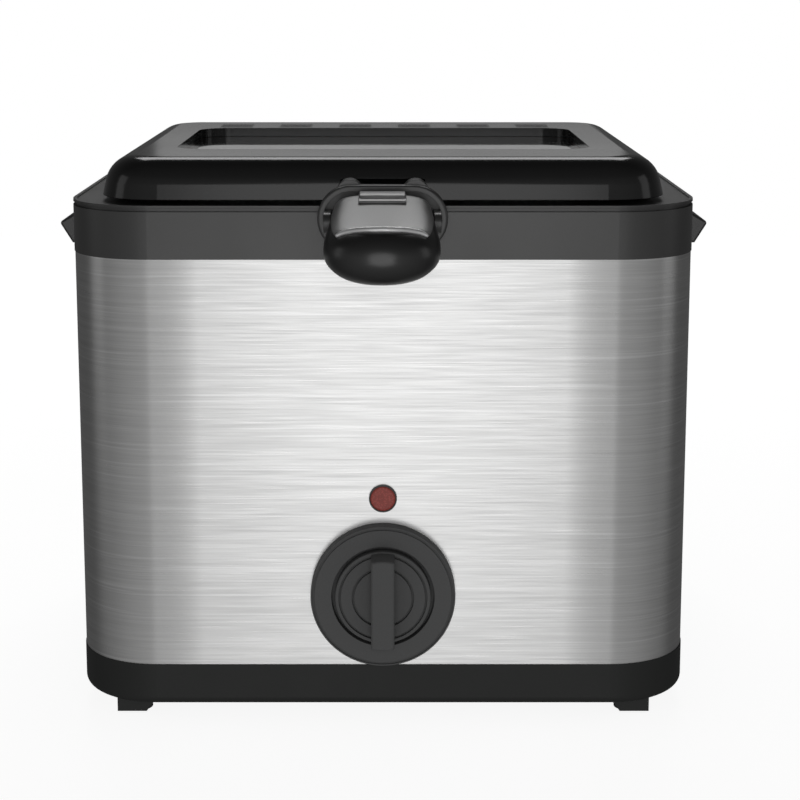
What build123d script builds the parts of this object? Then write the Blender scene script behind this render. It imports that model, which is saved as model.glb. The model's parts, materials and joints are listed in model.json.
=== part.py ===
"""Compact deep fryer with a brushed steel sleeve, a windowed lid and a lift-out wire basket.

Frame: millimetres, +Z up, front of the fryer towards -Y. The origin is the bottom centre of the
whole object's bounding box, on the surface that the feet stand on.
"""

import os

from build123d import *

# ---------------------------------------------------------------- driving dimensions
body_w, body_d, corner_r = 225.0, 215.0, 30.0  # plan of the housing
foot_h, base_h, sleeve_h, rim_h = 6.2, 15.5, 148.7, 18.3  # heights, from the table up
lid_gap, lid_h = 2.0, 14.4
grip_reach = 57.0  # basket handle, ahead of the housing
gland_reach = 9.0  # cord gland, behind the housing
wall = 2.5  # moulded walls
sleeve_t, sleeve_step = 0.6, 0.25  # sheet thickness, and how far it lies inside the mouldings
fit_gap = 0.15  # between parts that slide together at assembly
hole_gap = 0.2  # between a screw and its clearance hole
press_gap = 0.05  # between parts that are pressed together
through = 40.0  # depth of a cut that only has to pass right through

# ---------------------------------------------------------------- levels and planes
body_y = (grip_reach - gland_reach) / 2
front = body_y - body_d / 2
back = body_y + body_d / 2
base_top = foot_h + base_h
sleeve_top = base_top + sleeve_h
rim_top = sleeve_top + rim_h
lid_bottom = rim_top + lid_gap
lid_top = lid_bottom + lid_h
sleeve_front = front + sleeve_step
sleeve_inside = sleeve_front + sleeve_t
well_y = front + 100.0  # centre of the lid, pot and rim opening
lip_off = sleeve_step + sleeve_t + fit_gap  # moulded lips that enter the sleeve
lip_h, lip_t, lip_root = 6.0, 2.2, 4.0


def inset(distance):
    """Width, depth and corner radius of the housing's outline, set in by a distance."""
    return body_w - 2 * distance, body_d - 2 * distance, corner_r - distance


def facing(y):
    """A sketch plane at depth y. Extrusions from it grow towards the front."""
    return Plane.XZ.offset(-y)


def grown(plan, distance):
    """A (width, depth, corner radius) outline set out by a distance."""
    return plan[0] + 2 * distance, plan[1] + 2 * distance, plan[2] + distance


def tub_form(y, top_z, top_plan, bottom_z, bottom_plan, bottom_radius):
    """A solid that tapers to a flat bottom with a rounded edge."""
    with BuildPart() as form:
        for z, plan in ((top_z, top_plan), (bottom_z, bottom_plan)):
            with BuildSketch(Plane.XY.offset(z)):
                with Locations((0, y)):
                    RectangleRounded(*plan)
        loft()
        fillet(form.faces().sort_by(Axis.Z)[0].edges(), radius=bottom_radius)
    return form.part


pieces = {}


# ---------------------------------------------------------------- base
foot_x, foot_w, foot_d = 91.0, 14.0, 16.0
foot_chamfer, foot_chamfer_h = 3.3, 4.3
foot_setback = 15.0  # of each foot's centre, from the housing's ends
foot_y = body_d / 2 - foot_setback
pad_r, pad_h, pad_recess = 5.0, 1.5, 0.5
foot_bottom = pad_h - pad_recess
base_floor = foot_h + wall
boss_x, boss_y, boss_r, boss_top = 62.0, 45.0, 6.5, base_top + 8.0
screw_r, screw_head_r, screw_head_h, screw_seat = 2.0, 4.0, 3.0, foot_h + 6.0
head_gap = 0.5
base_round = 3.0  # lower edge of the base
floor_slot_l, floor_slot_w, floor_slot_pitch, floor_slot_rows = 26.0, 3.0, 9.0, 64.0
gland_slot_over = 2.6  # how far the gland's slot is cut past the wall
gland_x, gland_z, gland_slot_w, gland_slot_floor = -60.0, foot_h + 7.9, 11.0, foot_h + 3.0

with BuildPart() as base_shell:
    with BuildSketch(Plane.XY.offset(foot_h)):
        with Locations((0, body_y)):
            RectangleRounded(*inset(0))
    extrude(amount=base_h)
    fillet(base_shell.faces().sort_by(Axis.Z)[0].edges(), radius=base_round)
    with BuildSketch(Plane.XY.offset(base_floor)):
        with Locations((0, body_y)):
            RectangleRounded(*inset(wall))
    extrude(amount=base_h, mode=Mode.SUBTRACT)
    # lip that locates the steel sleeve from inside
    with BuildSketch(Plane.XY.offset(base_top - lip_root)):
        with Locations((0, body_y)):
            RectangleRounded(*inset(lip_off))
            RectangleRounded(*inset(lip_off + lip_t), mode=Mode.SUBTRACT)
    extrude(amount=lip_h + lip_root)
    # screw bosses under the pot's studs
    with BuildSketch(Plane.XY.offset(foot_h)):
        with Locations((0, well_y)):
            with GridLocations(2 * boss_x, 2 * boss_y, 2, 2):
                Circle(boss_r)
    extrude(amount=boss_top - foot_h)
    # feet, chamfered on the side that faces the middle
    for side in (-1, 1):
        for end in (-1, 1):
            y_low = body_y + end * foot_y - foot_d / 2
            outer_x, inner_x = side * (foot_x + foot_w / 2), side * (foot_x - foot_w / 2)
            with BuildSketch(facing(y_low + foot_d)):
                with BuildLine():
                    Polyline(
                        (outer_x, base_floor),
                        (outer_x, foot_bottom),
                        (inner_x + side * foot_chamfer, foot_bottom),
                        (inner_x, foot_bottom + foot_chamfer_h),
                        (inner_x, base_floor),
                        close=True,
                    )
                make_face()
            extrude(amount=foot_d)
    with BuildSketch(Plane.XY.offset(foot_bottom)):
        with Locations((0, body_y)):
            with GridLocations(2 * foot_x, 2 * foot_y, 2, 2):
                Circle(pad_r + fit_gap)
    extrude(amount=pad_recess, mode=Mode.SUBTRACT)
    # screw holes with counterbores that open downwards
    with Locations((0, well_y, 0)):
        with GridLocations(2 * boss_x, 2 * boss_y, 2, 2):
            Cylinder(screw_r + hole_gap, 2 * boss_top, mode=Mode.SUBTRACT)
            Cylinder(
                screw_head_r + head_gap,
                screw_seat,
                align=(Align.CENTER, Align.CENTER, Align.MIN),
                mode=Mode.SUBTRACT,
            )
    # cooling slots in the floor
    with BuildSketch(Plane.XY.offset(foot_h - 1)):
        with Locations((0, well_y)):
            with GridLocations(floor_slot_pitch, floor_slot_rows, 9, 2):
                SlotOverall(floor_slot_l, floor_slot_w, rotation=90)
    extrude(amount=wall + 2, mode=Mode.SUBTRACT)
    # slot for the cord gland, open at the top
    with BuildSketch(Plane.XY.offset(gland_slot_floor)):
        with Locations((gland_x, back)):
            Rectangle(gland_slot_w, 2 * (wall + lip_off + lip_t + gland_slot_over))
    extrude(amount=boss_top, mode=Mode.SUBTRACT)
pieces["base_shell"] = base_shell

with BuildPart() as foot_pads:
    with BuildSketch():
        with Locations((0, body_y)):
            with GridLocations(2 * foot_x, 2 * foot_y, 2, 2):
                Circle(pad_r)
    extrude(amount=pad_h)
pieces["foot_pads"] = foot_pads

gland_bore_r, gland_nose_r, gland_edge = 3.6, 5.6, 1.0
gland_flange, gland_flange_t, gland_flange_r = 14.6, 3.0, 3.0
gland_plate_h, gland_plate_t, gland_plate_r = 10.0, 2.4, 2.0  # inside the wall
gland_inner = back - lip_off - lip_t - fit_gap  # inner face of the slotted wall

with BuildPart() as cord_gland:
    with BuildSketch(facing(gland_inner)):
        with Locations((gland_x, gland_z)):
            RectangleRounded(gland_flange, gland_plate_h, gland_plate_r)
    extrude(amount=gland_plate_t)
    with BuildSketch(facing(back + fit_gap)):
        with Locations((gland_x, (gland_slot_floor + base_top) / 2)):
            Rectangle(gland_slot_w - 2 * fit_gap, base_top - gland_slot_floor - 2 * fit_gap)
    extrude(amount=back + fit_gap - gland_inner)
    with BuildSketch(facing(back + gland_flange_t)):
        with Locations((gland_x, gland_z)):
            RectangleRounded(gland_flange, gland_flange, gland_flange_r)
    extrude(amount=gland_flange_t - fit_gap)
    with BuildSketch(facing(back + gland_reach)):
        with Locations((gland_x, gland_z)):
            Circle(gland_nose_r)
    extrude(amount=gland_reach - gland_flange_t + fit_gap)
    fillet(cord_gland.faces().sort_by(Axis.Y)[-1].edges(), radius=gland_edge)
    with BuildSketch(facing(back + gland_reach)):
        with Locations((gland_x, gland_z)):
            Circle(gland_bore_r)
    extrude(amount=through, mode=Mode.SUBTRACT)
pieces["cord_gland"] = cord_gland

# ---------------------------------------------------------------- steel sleeve
knob_z, lamp_z = rim_top - 139.7, rim_top - 104.6
fix_x, fix_r = 13.0, 1.5  # thermostat fixing screws
knob_hole_r, lamp_hole_r = 6.0, 4.3
seam_w, seam_inset = 11.0, 0.1

with BuildPart() as steel_sleeve:
    with BuildSketch(Plane.XY.offset(base_top)):
        with Locations((0, body_y)):
            RectangleRounded(*inset(sleeve_step))
            RectangleRounded(*inset(sleeve_step + sleeve_t), mode=Mode.SUBTRACT)
    extrude(amount=sleeve_h)
    # overlapped joint of the rolled sheet, up the middle of the back
    with BuildSketch(Plane.XY.offset(base_top)):
        with Locations((0, back - sleeve_step)):
            Rectangle(seam_w, 2 * (sleeve_step - seam_inset))
    extrude(amount=sleeve_h)
    with BuildSketch(facing(sleeve_inside + 1)):
        with Locations((0, knob_z)):
            Circle(knob_hole_r)
        with Locations((0, lamp_z)):
            Circle(lamp_hole_r)
        with Locations((-fix_x, knob_z), (fix_x, knob_z)):
            Circle(fix_r + hole_gap)
    extrude(amount=4, mode=Mode.SUBTRACT)
pieces["steel_sleeve"] = steel_sleeve

# ---------------------------------------------------------------- top rim
groove_top, groove_w, groove_depth = 0.3, 1.2, 1.2  # shadow groove, below the rim's upper edge
rib_inset, rib_w, rib_h = 0.05, 1.2, 0.7  # raised rib along the rim's upper edge
opening = (180.0, 164.0, 29.0)
seat = (188.0, 172.0, 33.0)  # recess for the pot's flange
seat_ring, seat_ring_h = (196.0, 180.0, 37.0), 8.0
seat_z = rim_top - 2.0
hinge_y, hinge_z = front + 203.0, rim_top + 6.0
pin_r, pin_fit, pin_press = 1.75, 0.06, 0.02  # radius, running clearance, pressed clearance
lug_r = 5.5
knuckle_x, knuckle_w = 64.0, 12.0
lug_w, lug_gap = 7.5, 0.5
lug_xs = [
    side * (knuckle_x + off * (knuckle_w / 2 + lug_gap + lug_w / 2))
    for side in (-1, 1)
    for off in (-1, 1)
]

with BuildPart() as top_rim:
    with BuildSketch(Plane.XY.offset(sleeve_top)):
        with Locations((0, body_y)):
            RectangleRounded(*inset(0))
    extrude(amount=rim_h)
    with BuildSketch(Plane.XY.offset(rim_top)):
        with Locations((0, body_y)):
            RectangleRounded(*inset(rib_inset))
            RectangleRounded(*inset(rib_inset + rib_w), mode=Mode.SUBTRACT)
    extrude(amount=rib_h)
    with BuildSketch(Plane.XY.offset(rim_top - groove_top - groove_w)):
        with Locations((0, body_y)):
            RectangleRounded(*inset(-1.0))
            RectangleRounded(*inset(groove_depth), mode=Mode.SUBTRACT)
    extrude(amount=groove_w, mode=Mode.SUBTRACT)
    # hollow under the top plate
    with BuildSketch(Plane.XY.offset(sleeve_top)):
        with Locations((0, body_y)):
            RectangleRounded(*inset(wall))
    extrude(amount=rim_h - wall, mode=Mode.SUBTRACT)
    with BuildSketch(Plane.XY.offset(rim_top - seat_ring_h)):
        with Locations((0, well_y)):
            RectangleRounded(*seat_ring)
    extrude(amount=seat_ring_h - wall)
    # lip that enters the sleeve
    with BuildSketch(Plane.XY.offset(sleeve_top - lip_h)):
        with Locations((0, body_y)):
            RectangleRounded(*inset(lip_off))
            RectangleRounded(*inset(lip_off + lip_t), mode=Mode.SUBTRACT)
    extrude(amount=lip_h + lip_root)
    with BuildSketch(Plane.XY.offset(sleeve_top - lip_h)):
        with Locations((0, well_y)):
            RectangleRounded(*opening)
    extrude(amount=rim_h + lip_h + 1, mode=Mode.SUBTRACT)
    with BuildSketch(Plane.XY.offset(seat_z)):
        with Locations((0, well_y)):
            RectangleRounded(*seat)
    extrude(amount=4, mode=Mode.SUBTRACT)
    # hinge lugs on the rear ledge
    for x in lug_xs:
        with BuildSketch(Plane.YZ.offset(x - lug_w / 2)):
            with Locations((hinge_y, hinge_z)):
                Circle(lug_r)
            with Locations((hinge_y, (hinge_z + rim_top - wall) / 2)):
                Rectangle(2 * lug_r, hinge_z - rim_top + wall)
            with Locations((hinge_y, hinge_z)):
                Circle(pin_r + pin_press, mode=Mode.SUBTRACT)
        extrude(amount=lug_w)
pieces["top_rim"] = top_rim

pin_length = knuckle_w + 2 * (lug_gap + lug_w) + 1.0
with BuildPart() as hinge_pins:
    with BuildSketch(Plane.YZ):
        with Locations((hinge_y, hinge_z)):
            Circle(pin_r)
    extrude(amount=pin_length / 2, both=True)
    hinge_pin = hinge_pins.part
with BuildPart() as hinge_pins:
    with Locations((-knuckle_x, 0, 0), (knuckle_x, 0, 0)):
        add(hinge_pin)
pieces["hinge_pins"] = hinge_pins

# ---------------------------------------------------------------- carry grips on the sides
carry_l, carry_t = 75.0, 2.6
carry_round, carry_bevel = 1.2, 0.8
carry_top = (body_w / 2, rim_top - 6.4)
carry_tip = (body_w / 2 + 13.0, rim_top - 14.0)
carry_low = (body_w / 2 + 8.1, rim_top - 22.0)
carry_pocket = [
    (body_w / 2, rim_top - 9.5),
    (body_w / 2 + 9.4, rim_top - 15.1),
    (body_w / 2 + 5.1, rim_top - 22.0),
    (body_w / 2, rim_top - 22.0),
]

for name, side in (("carry_grip_left", -1), ("carry_grip_right", 1)):
    with BuildPart() as carry_grip:
        with BuildSketch(facing(body_y + carry_l / 2)):
            with BuildLine():
                Polyline(
                    carry_top, carry_tip, carry_low, (body_w / 2, carry_low[1]), close=True
                )
            make_face()
        extrude(amount=carry_l)
        tip_edge = carry_grip.edges().filter_by(Axis.Y).sort_by(Axis.X)[-1]
        fillet(tip_edge, radius=carry_round)
        end_edges = carry_grip.edges().filter_by(Axis.Y, reverse=True)
        end_edges = end_edges.filter_by(lambda e: e.center().X > body_w / 2 + 1)
        chamfer(end_edges, length=carry_bevel)
        with BuildSketch(facing(body_y + carry_l / 2 - carry_t)):
            with BuildLine():
                Polyline(*carry_pocket, close=True)
            make_face()
        extrude(amount=carry_l - 2 * carry_t, mode=Mode.SUBTRACT)
        if side < 0:
            right_hand = carry_grip.part
            mirror(right_hand, about=Plane.YZ, mode=Mode.REPLACE)
    pieces[name] = carry_grip

# ---------------------------------------------------------------- oil pot and what hangs under it
pot_t, pot_floor = 1.5, 76.0  # wall, and the inside of its bottom
pot_top = (172.0, 156.0, 26.0)
pot_bottom = (160.0, 144.0, 22.0)
pot_round = 8.0  # inside, round its bottom
flange_z = seat_z + 0.8
flange_gap = 0.3
mark_levels = (pot_floor + 42.0, pot_floor + 66.0)
mark_w, mark_rise, mark_h = 34.0, 0.7, 1.2

pot_outside = tub_form(
    well_y,
    rim_top,
    grown(pot_top, pot_t),
    pot_floor - pot_t,
    grown(pot_bottom, pot_t),
    pot_round + pot_t,
)
pot_inside = tub_form(well_y, rim_top, pot_top, pot_floor, pot_bottom, pot_round)
pot_taper = (pot_top[1] - pot_bottom[1]) / 2 / (rim_top - pot_floor)

with BuildPart() as oil_pot:
    add(pot_outside)
    with BuildSketch(Plane.XY.offset(flange_z)):
        with Locations((0, well_y)):
            RectangleRounded(*grown(seat, -flange_gap))
    extrude(amount=rim_top - flange_z)
    add(pot_inside, mode=Mode.SUBTRACT)
    # raised level marks on the rear wall
    for level in mark_levels:
        rear_inside = well_y + pot_bottom[1] / 2 + pot_taper * (level - pot_floor)
        with Locations((0, rear_inside, level)):
            Box(mark_w, 2 * mark_rise, mark_h)
pieces["oil_pot"] = oil_pot

with BuildPart() as pot_seal:
    with BuildSketch(Plane.XY.offset(seat_z)):
        with Locations((0, well_y)):
            RectangleRounded(*grown(seat, -flange_gap))
            RectangleRounded(*grown(opening, flange_gap), mode=Mode.SUBTRACT)
    extrude(amount=flange_z - seat_z)
pieces["pot_seal"] = pot_seal

pot_under = pot_floor - pot_t
plate_t, plate_plan = 2.5, (106.0, 112.0, 14.0)
plate_under = pot_under - plate_t
element_r, element_x, element_bend = 3.3, 40.0, 24.0
element_front, element_back = well_y - 52.0, well_y + 54.0
element_z = plate_under - element_r

with BuildPart() as heat_plate:
    with BuildSketch(Plane.XY.offset(plate_under)):
        with Locations((0, element_front + plate_plan[1] / 2)):
            RectangleRounded(*plate_plan)
    extrude(amount=plate_t)
pieces["heat_plate"] = heat_plate

with BuildPart() as heating_element:
    with BuildLine() as element_path:
        FilletPolyline(
            (-element_x, element_front, element_z),
            (-element_x, element_back, element_z),
            (element_x, element_back, element_z),
            (element_x, element_front, element_z),
            radius=element_bend,
        )
    with BuildSketch(facing(element_front)):
        with Locations((-element_x, element_z)):
            Circle(element_r)
    sweep(path=element_path.wires()[0])
pieces["heating_element"] = heating_element

terminal_l, terminal_r = 9.0, 4.6
tab_w, tab_t = 6.3, 0.8  # push-on terminal tabs
with BuildPart() as element_terminals:
    for x in (-element_x, element_x):
        with BuildSketch(facing(element_front)):
            with Locations((x, element_z)):
                Circle(terminal_r)
        extrude(amount=terminal_l)
        with BuildSketch(facing(element_front - terminal_l)):
            with Locations((x, element_z)):
                Rectangle(tab_w, tab_t)
        extrude(amount=terminal_l)
pieces["element_terminals"] = element_terminals

bulb_r, bulb_front, bulb_back = 3.0, well_y - 26.0, well_y + 22.0
thermostat_w, thermostat_h, thermostat_l = 34.0, 30.0, 27.0
thermostat_front = sleeve_inside + fit_gap
thermostat_back = thermostat_front + thermostat_l
neck_r, shaft_r = 5.0, 3.0
capillary_r, capillary_bend = 0.9, 5.0

with BuildPart() as sensor_bulb:
    with BuildSketch(facing(bulb_back)):
        with Locations((0, plate_under - bulb_r)):
            Circle(bulb_r)
    extrude(amount=bulb_back - bulb_front)
    with BuildLine() as capillary_path:
        FilletPolyline(
            (0, bulb_front, plate_under - bulb_r),
            (0, bulb_front - 16, plate_under - bulb_r),
            (0, thermostat_back + 12, knob_z),
            (0, thermostat_back, knob_z),
            radius=capillary_bend,
        )
    with BuildSketch(facing(bulb_front)):
        with Locations((0, plate_under - bulb_r)):
            Circle(capillary_r)
    sweep(path=capillary_path.wires()[0])
pieces["sensor_bulb"] = sensor_bulb

cutout_y, cutout_r, cutout_h = well_y + 36.0, 7.5, 8.0
cutout_flange_l, cutout_flange_w, cutout_flange_t = 30.0, 10.0, 1.2
tab_l = 7.0
with BuildPart() as thermal_cutout:
    with BuildSketch(Plane.XY.offset(plate_under - cutout_flange_t)):
        with Locations((0, cutout_y)):
            SlotOverall(cutout_flange_l, cutout_flange_w)
    extrude(amount=cutout_flange_t)
    with BuildSketch(Plane.XY.offset(plate_under - cutout_h)):
        with Locations((0, cutout_y)):
            Circle(cutout_r)
    extrude(amount=cutout_h - 1)
    with BuildSketch(Plane.XY.offset(plate_under - cutout_h - tab_l)):
        with Locations((-4, cutout_y), (4, cutout_y)):
            Rectangle(tab_t, tab_w)
    extrude(amount=tab_l + 0.1)
pieces["thermal_cutout"] = thermal_cutout

stud_r, stud_bore = 4.5, 26.0
thread_end = 4.0  # how far the bore runs past the screw's tip
with BuildPart() as pot_studs:
    with BuildSketch(Plane.XY.offset(boss_top)):
        with Locations((0, well_y)):
            with GridLocations(2 * boss_x, 2 * boss_y, 2, 2):
                Circle(stud_r)
    extrude(amount=pot_under - boss_top)
    with BuildSketch(Plane.XY.offset(boss_top)):
        with Locations((0, well_y)):
            with GridLocations(2 * boss_x, 2 * boss_y, 2, 2):
                Circle(screw_r + press_gap)
    extrude(amount=stud_bore, mode=Mode.SUBTRACT)
pieces["pot_studs"] = pot_studs

cross_l, cross_w, cross_depth = 5.0, 1.0, 1.4  # driver recess in each head
with BuildPart() as tie_screws:
    with BuildSketch(Plane.XY.offset(screw_seat - screw_head_h)):
        with Locations((0, well_y)):
            with GridLocations(2 * boss_x, 2 * boss_y, 2, 2):
                Circle(screw_head_r)
                Rectangle(cross_l, cross_w, mode=Mode.SUBTRACT)
                Rectangle(cross_w, cross_l, mode=Mode.SUBTRACT)
    extrude(amount=cross_depth)
    with BuildSketch(Plane.XY.offset(screw_seat - screw_head_h + cross_depth)):
        with Locations((0, well_y)):
            with GridLocations(2 * boss_x, 2 * boss_y, 2, 2):
                Circle(screw_head_r)
    extrude(amount=screw_head_h - cross_depth)
    with BuildSketch(Plane.XY.offset(screw_seat)):
        with Locations((0, well_y)):
            with GridLocations(2 * boss_x, 2 * boss_y, 2, 2):
                Circle(screw_r)
    extrude(amount=boss_top + stud_bore - thread_end - screw_seat)
pieces["tie_screws"] = tie_screws

shield_z, shield_t, shield_plan = base_top + 16.0, 0.8, (156.0, 130.0, 16.0)
shield_y = well_y + 6.0
washer_w, washer_t = 3.5, 1.2
with BuildPart() as heat_shield:
    with BuildSketch(Plane.XY.offset(shield_z)):
        with Locations((0, shield_y)):
            RectangleRounded(*shield_plan)
        with Locations((0, well_y)):
            with GridLocations(2 * boss_x, 2 * boss_y, 2, 2):
                Circle(stud_r + 0.3, mode=Mode.SUBTRACT)
    extrude(amount=shield_t)
pieces["heat_shield"] = heat_shield

with BuildPart() as shield_washers:
    with BuildSketch(Plane.XY.offset(shield_z - washer_t)):
        with Locations((0, well_y)):
            with GridLocations(2 * boss_x, 2 * boss_y, 2, 2):
                Circle(stud_r + washer_w)
                Circle(stud_r + press_gap, mode=Mode.SUBTRACT)
    extrude(amount=washer_t)
pieces["shield_washers"] = shield_washers

# ---------------------------------------------------------------- electrical parts
thermostat_r, neck_l = 3.0, 2.0
shaft_bore, thermostat_tab_l = 9.0, 9.0
thermostat_tab_x, thermostat_tab_drop = 11.0, 8.0
with BuildPart() as thermostat_body:
    with BuildSketch(facing(thermostat_back)):
        with Locations((0, knob_z)):
            RectangleRounded(thermostat_w, thermostat_h, thermostat_r)
    extrude(amount=thermostat_l)
    with BuildSketch(facing(thermostat_front)):
        with Locations((0, knob_z)):
            Circle(neck_r)
    extrude(amount=neck_l)
    with BuildSketch(facing(thermostat_back - shaft_bore)):
        with Locations((0, knob_z)):
            Circle(shaft_r + pin_fit)
        with Locations((-fix_x, knob_z), (fix_x, knob_z)):
            Circle(fix_r + press_gap)
    extrude(amount=through, mode=Mode.SUBTRACT)
    with BuildSketch(facing(thermostat_back + thermostat_tab_l)):
        with Locations((0, knob_z - thermostat_tab_drop)):
            with GridLocations(thermostat_tab_x, 1.0, 3, 1):
                Rectangle(tab_t, tab_w)
    extrude(amount=thermostat_tab_l)
pieces["thermostat_body"] = thermostat_body

block_x, block_y = gland_x + 4.0, back - 34.0
block_w, block_d, block_h = 32.0, 16.0, 12.0
collar_r, collar_h, collar_pitch = 3.8, 15.0, 10.0
with BuildPart() as terminal_block:
    with Locations((block_x, block_y, base_floor)):
        Box(block_w, block_d, block_h, align=(Align.CENTER, Align.CENTER, Align.MIN))
        with GridLocations(collar_pitch, 1.0, 3, 1):
            Cylinder(collar_r, collar_h, align=(Align.CENTER, Align.CENTER, Align.MIN))
pieces["terminal_block"] = terminal_block

lens_r, lens_rise, lens_edge = 4.55, 1.3, 0.8
lens_stem_r, lens_stem_l = 4.0, 8.0
ring_w, ring_rise = 0.45, 1.0
with BuildPart() as pilot_bezel:
    with BuildSketch(facing(sleeve_front)):
        with Locations((0, lamp_z)):
            Circle(lens_r + ring_w)
            Circle(lens_r + pin_press, mode=Mode.SUBTRACT)
    extrude(amount=ring_rise)
pieces["pilot_bezel"] = pilot_bezel

with BuildPart() as pilot_lens:
    with BuildSketch(facing(sleeve_front)):
        with Locations((0, lamp_z)):
            Circle(lens_r)
    extrude(amount=lens_rise)
    fillet(pilot_lens.faces().sort_by(Axis.Y)[0].edges(), radius=lens_edge)
    with BuildSketch(facing(sleeve_front + lens_stem_l)):
        with Locations((0, lamp_z)):
            Circle(lens_stem_r)
    extrude(amount=lens_stem_l)
pieces["pilot_lens"] = pilot_lens

lamp_back, lamp_r = sleeve_inside + 15.0, 5.6
lead_x, lead_w, lead_t, lead_l = 2.5, 3.0, 0.6, 5.0
with BuildPart() as pilot_lamp:
    with BuildSketch(facing(lamp_back)):
        with Locations((0, lamp_z)):
            Circle(lamp_r)
    extrude(amount=lamp_back - sleeve_inside - fit_gap)
    with BuildSketch(facing(sleeve_front + lens_stem_l + 2 * fit_gap)):
        with Locations((0, lamp_z)):
            Circle(lens_stem_r + press_gap)
    extrude(amount=through, mode=Mode.SUBTRACT)
    with BuildSketch(facing(lamp_back + lead_l)):
        with Locations((-lead_x, lamp_z), (lead_x, lamp_z)):
            Rectangle(lead_t, lead_w)
    extrude(amount=lead_l)
pieces["pilot_lamp"] = pilot_lamp

# ---------------------------------------------------------------- thermostat knob
bezel_r, bezel_t, bezel_floor_t = 26.0, 5.2, 1.8
bezel_edge, bezel_land = 0.3, 0.6  # outer edge, and the land outside the groove
fix_head_r, fix_head_t, fix_recess_r = 2.8, 1.2, 3.0
knob_r, knob_gap = 17.1, 1.4
turned_w, turned_depth = 0.8, 1.2  # grooves turned in the faces of the bezel and knob
bezel_face = sleeve_front - bezel_t
bezel_floor = sleeve_front - bezel_floor_t
knob_back, knob_face, bar_face = bezel_floor - 0.6, sleeve_front - 6.4, sleeve_front - 16.2
bar_w, bar_r, bar_edge = 8.3, 16.5, 0.9
knob_edge, knob_grooves = 0.4, (15.9, 11.1)
bore_end = 0.3  # between the shaft's end and the bore's

with BuildPart() as knob_bezel:
    with BuildSketch(facing(sleeve_front)):
        with Locations((0, knob_z)):
            Circle(bezel_r)
    extrude(amount=bezel_t)
    fillet(knob_bezel.faces().sort_by(Axis.Y)[0].edges(), radius=bezel_edge)
    with BuildSketch(facing(bezel_face + turned_depth / 2)):
        with Locations((0, knob_z)):
            Circle(bezel_r - bezel_land)
            Circle(bezel_r - bezel_land - turned_w, mode=Mode.SUBTRACT)
    extrude(amount=turned_depth, mode=Mode.SUBTRACT)
    with BuildSketch(facing(bezel_floor)):
        with Locations((0, knob_z)):
            Circle(knob_r + knob_gap)
    extrude(amount=bezel_t, mode=Mode.SUBTRACT)
    with BuildSketch(facing(sleeve_front)):
        with Locations((0, knob_z)):
            Circle(neck_r + hole_gap)
        with Locations((-fix_x, knob_z), (fix_x, knob_z)):
            Circle(fix_r + hole_gap)
    extrude(amount=bezel_t, mode=Mode.SUBTRACT)
    with BuildSketch(facing(bezel_floor + fix_head_t)):
        with Locations((-fix_x, knob_z), (fix_x, knob_z)):
            Circle(fix_recess_r)
    extrude(amount=bezel_t, mode=Mode.SUBTRACT)
pieces["knob_bezel"] = knob_bezel

fix_tip = thermostat_front + 10.0
with BuildPart() as thermostat_screws:
    with BuildSketch(facing(bezel_floor + fix_head_t)):
        with Locations((-fix_x, knob_z), (fix_x, knob_z)):
            Circle(fix_head_r)
    extrude(amount=fix_head_t)
    with BuildSketch(facing(fix_tip)):
        with Locations((-fix_x, knob_z), (fix_x, knob_z)):
            Circle(fix_r)
    extrude(amount=fix_tip - bezel_floor - fix_head_t)
pieces["thermostat_screws"] = thermostat_screws

shaft_flat = 1.0
shaft_front, shaft_back = bar_face + 5.0, thermostat_back - shaft_bore - 0.5
flat_back = knob_back + 0.5
with BuildPart() as thermostat_shaft:
    with BuildSketch(facing(shaft_back)):
        with Locations((0, knob_z)):
            Circle(shaft_r)
    extrude(amount=shaft_back - shaft_front)
    with BuildSketch(facing(flat_back)):
        with Locations((0, knob_z + shaft_r)):
            Rectangle(2 * shaft_r, 2 * shaft_flat)
    extrude(amount=through, mode=Mode.SUBTRACT)
pieces["thermostat_shaft"] = thermostat_shaft

with BuildPart() as knob_bar:
    with BuildSketch(facing(knob_back)):
        with Locations((0, knob_z)):
            Circle(bar_r)
            Rectangle(bar_w, 3 * bar_r, mode=Mode.INTERSECT)
    extrude(amount=knob_back - bar_face)
    fillet(knob_bar.faces().sort_by(Axis.Y)[0].edges(), radius=bar_edge)

with BuildPart() as knob:
    with BuildSketch(facing(knob_back)):
        with Locations((0, knob_z)):
            Circle(knob_r)
    extrude(amount=knob_back - knob_face)
    fillet(knob.faces().sort_by(Axis.Y)[0].edges(), radius=knob_edge)
    # two turned grooves in the face
    for radius in knob_grooves:
        with BuildSketch(facing(knob_face + turned_depth)):
            with Locations((0, knob_z)):
                Circle(radius)
                Circle(radius - turned_w, mode=Mode.SUBTRACT)
        extrude(amount=2, mode=Mode.SUBTRACT)
    add(knob_bar.part)
    # blind bore with a flat, for the shaft
    with BuildSketch(facing(knob_back)):
        with Locations((0, knob_z)):
            Circle(shaft_r + press_gap)
        with Locations((0, knob_z + shaft_r + press_gap)):
            Rectangle(2 * shaft_r + 1, 2 * shaft_flat, mode=Mode.SUBTRACT)
    extrude(amount=knob_back - shaft_front + bore_end, mode=Mode.SUBTRACT)
pieces["knob"] = knob

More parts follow.
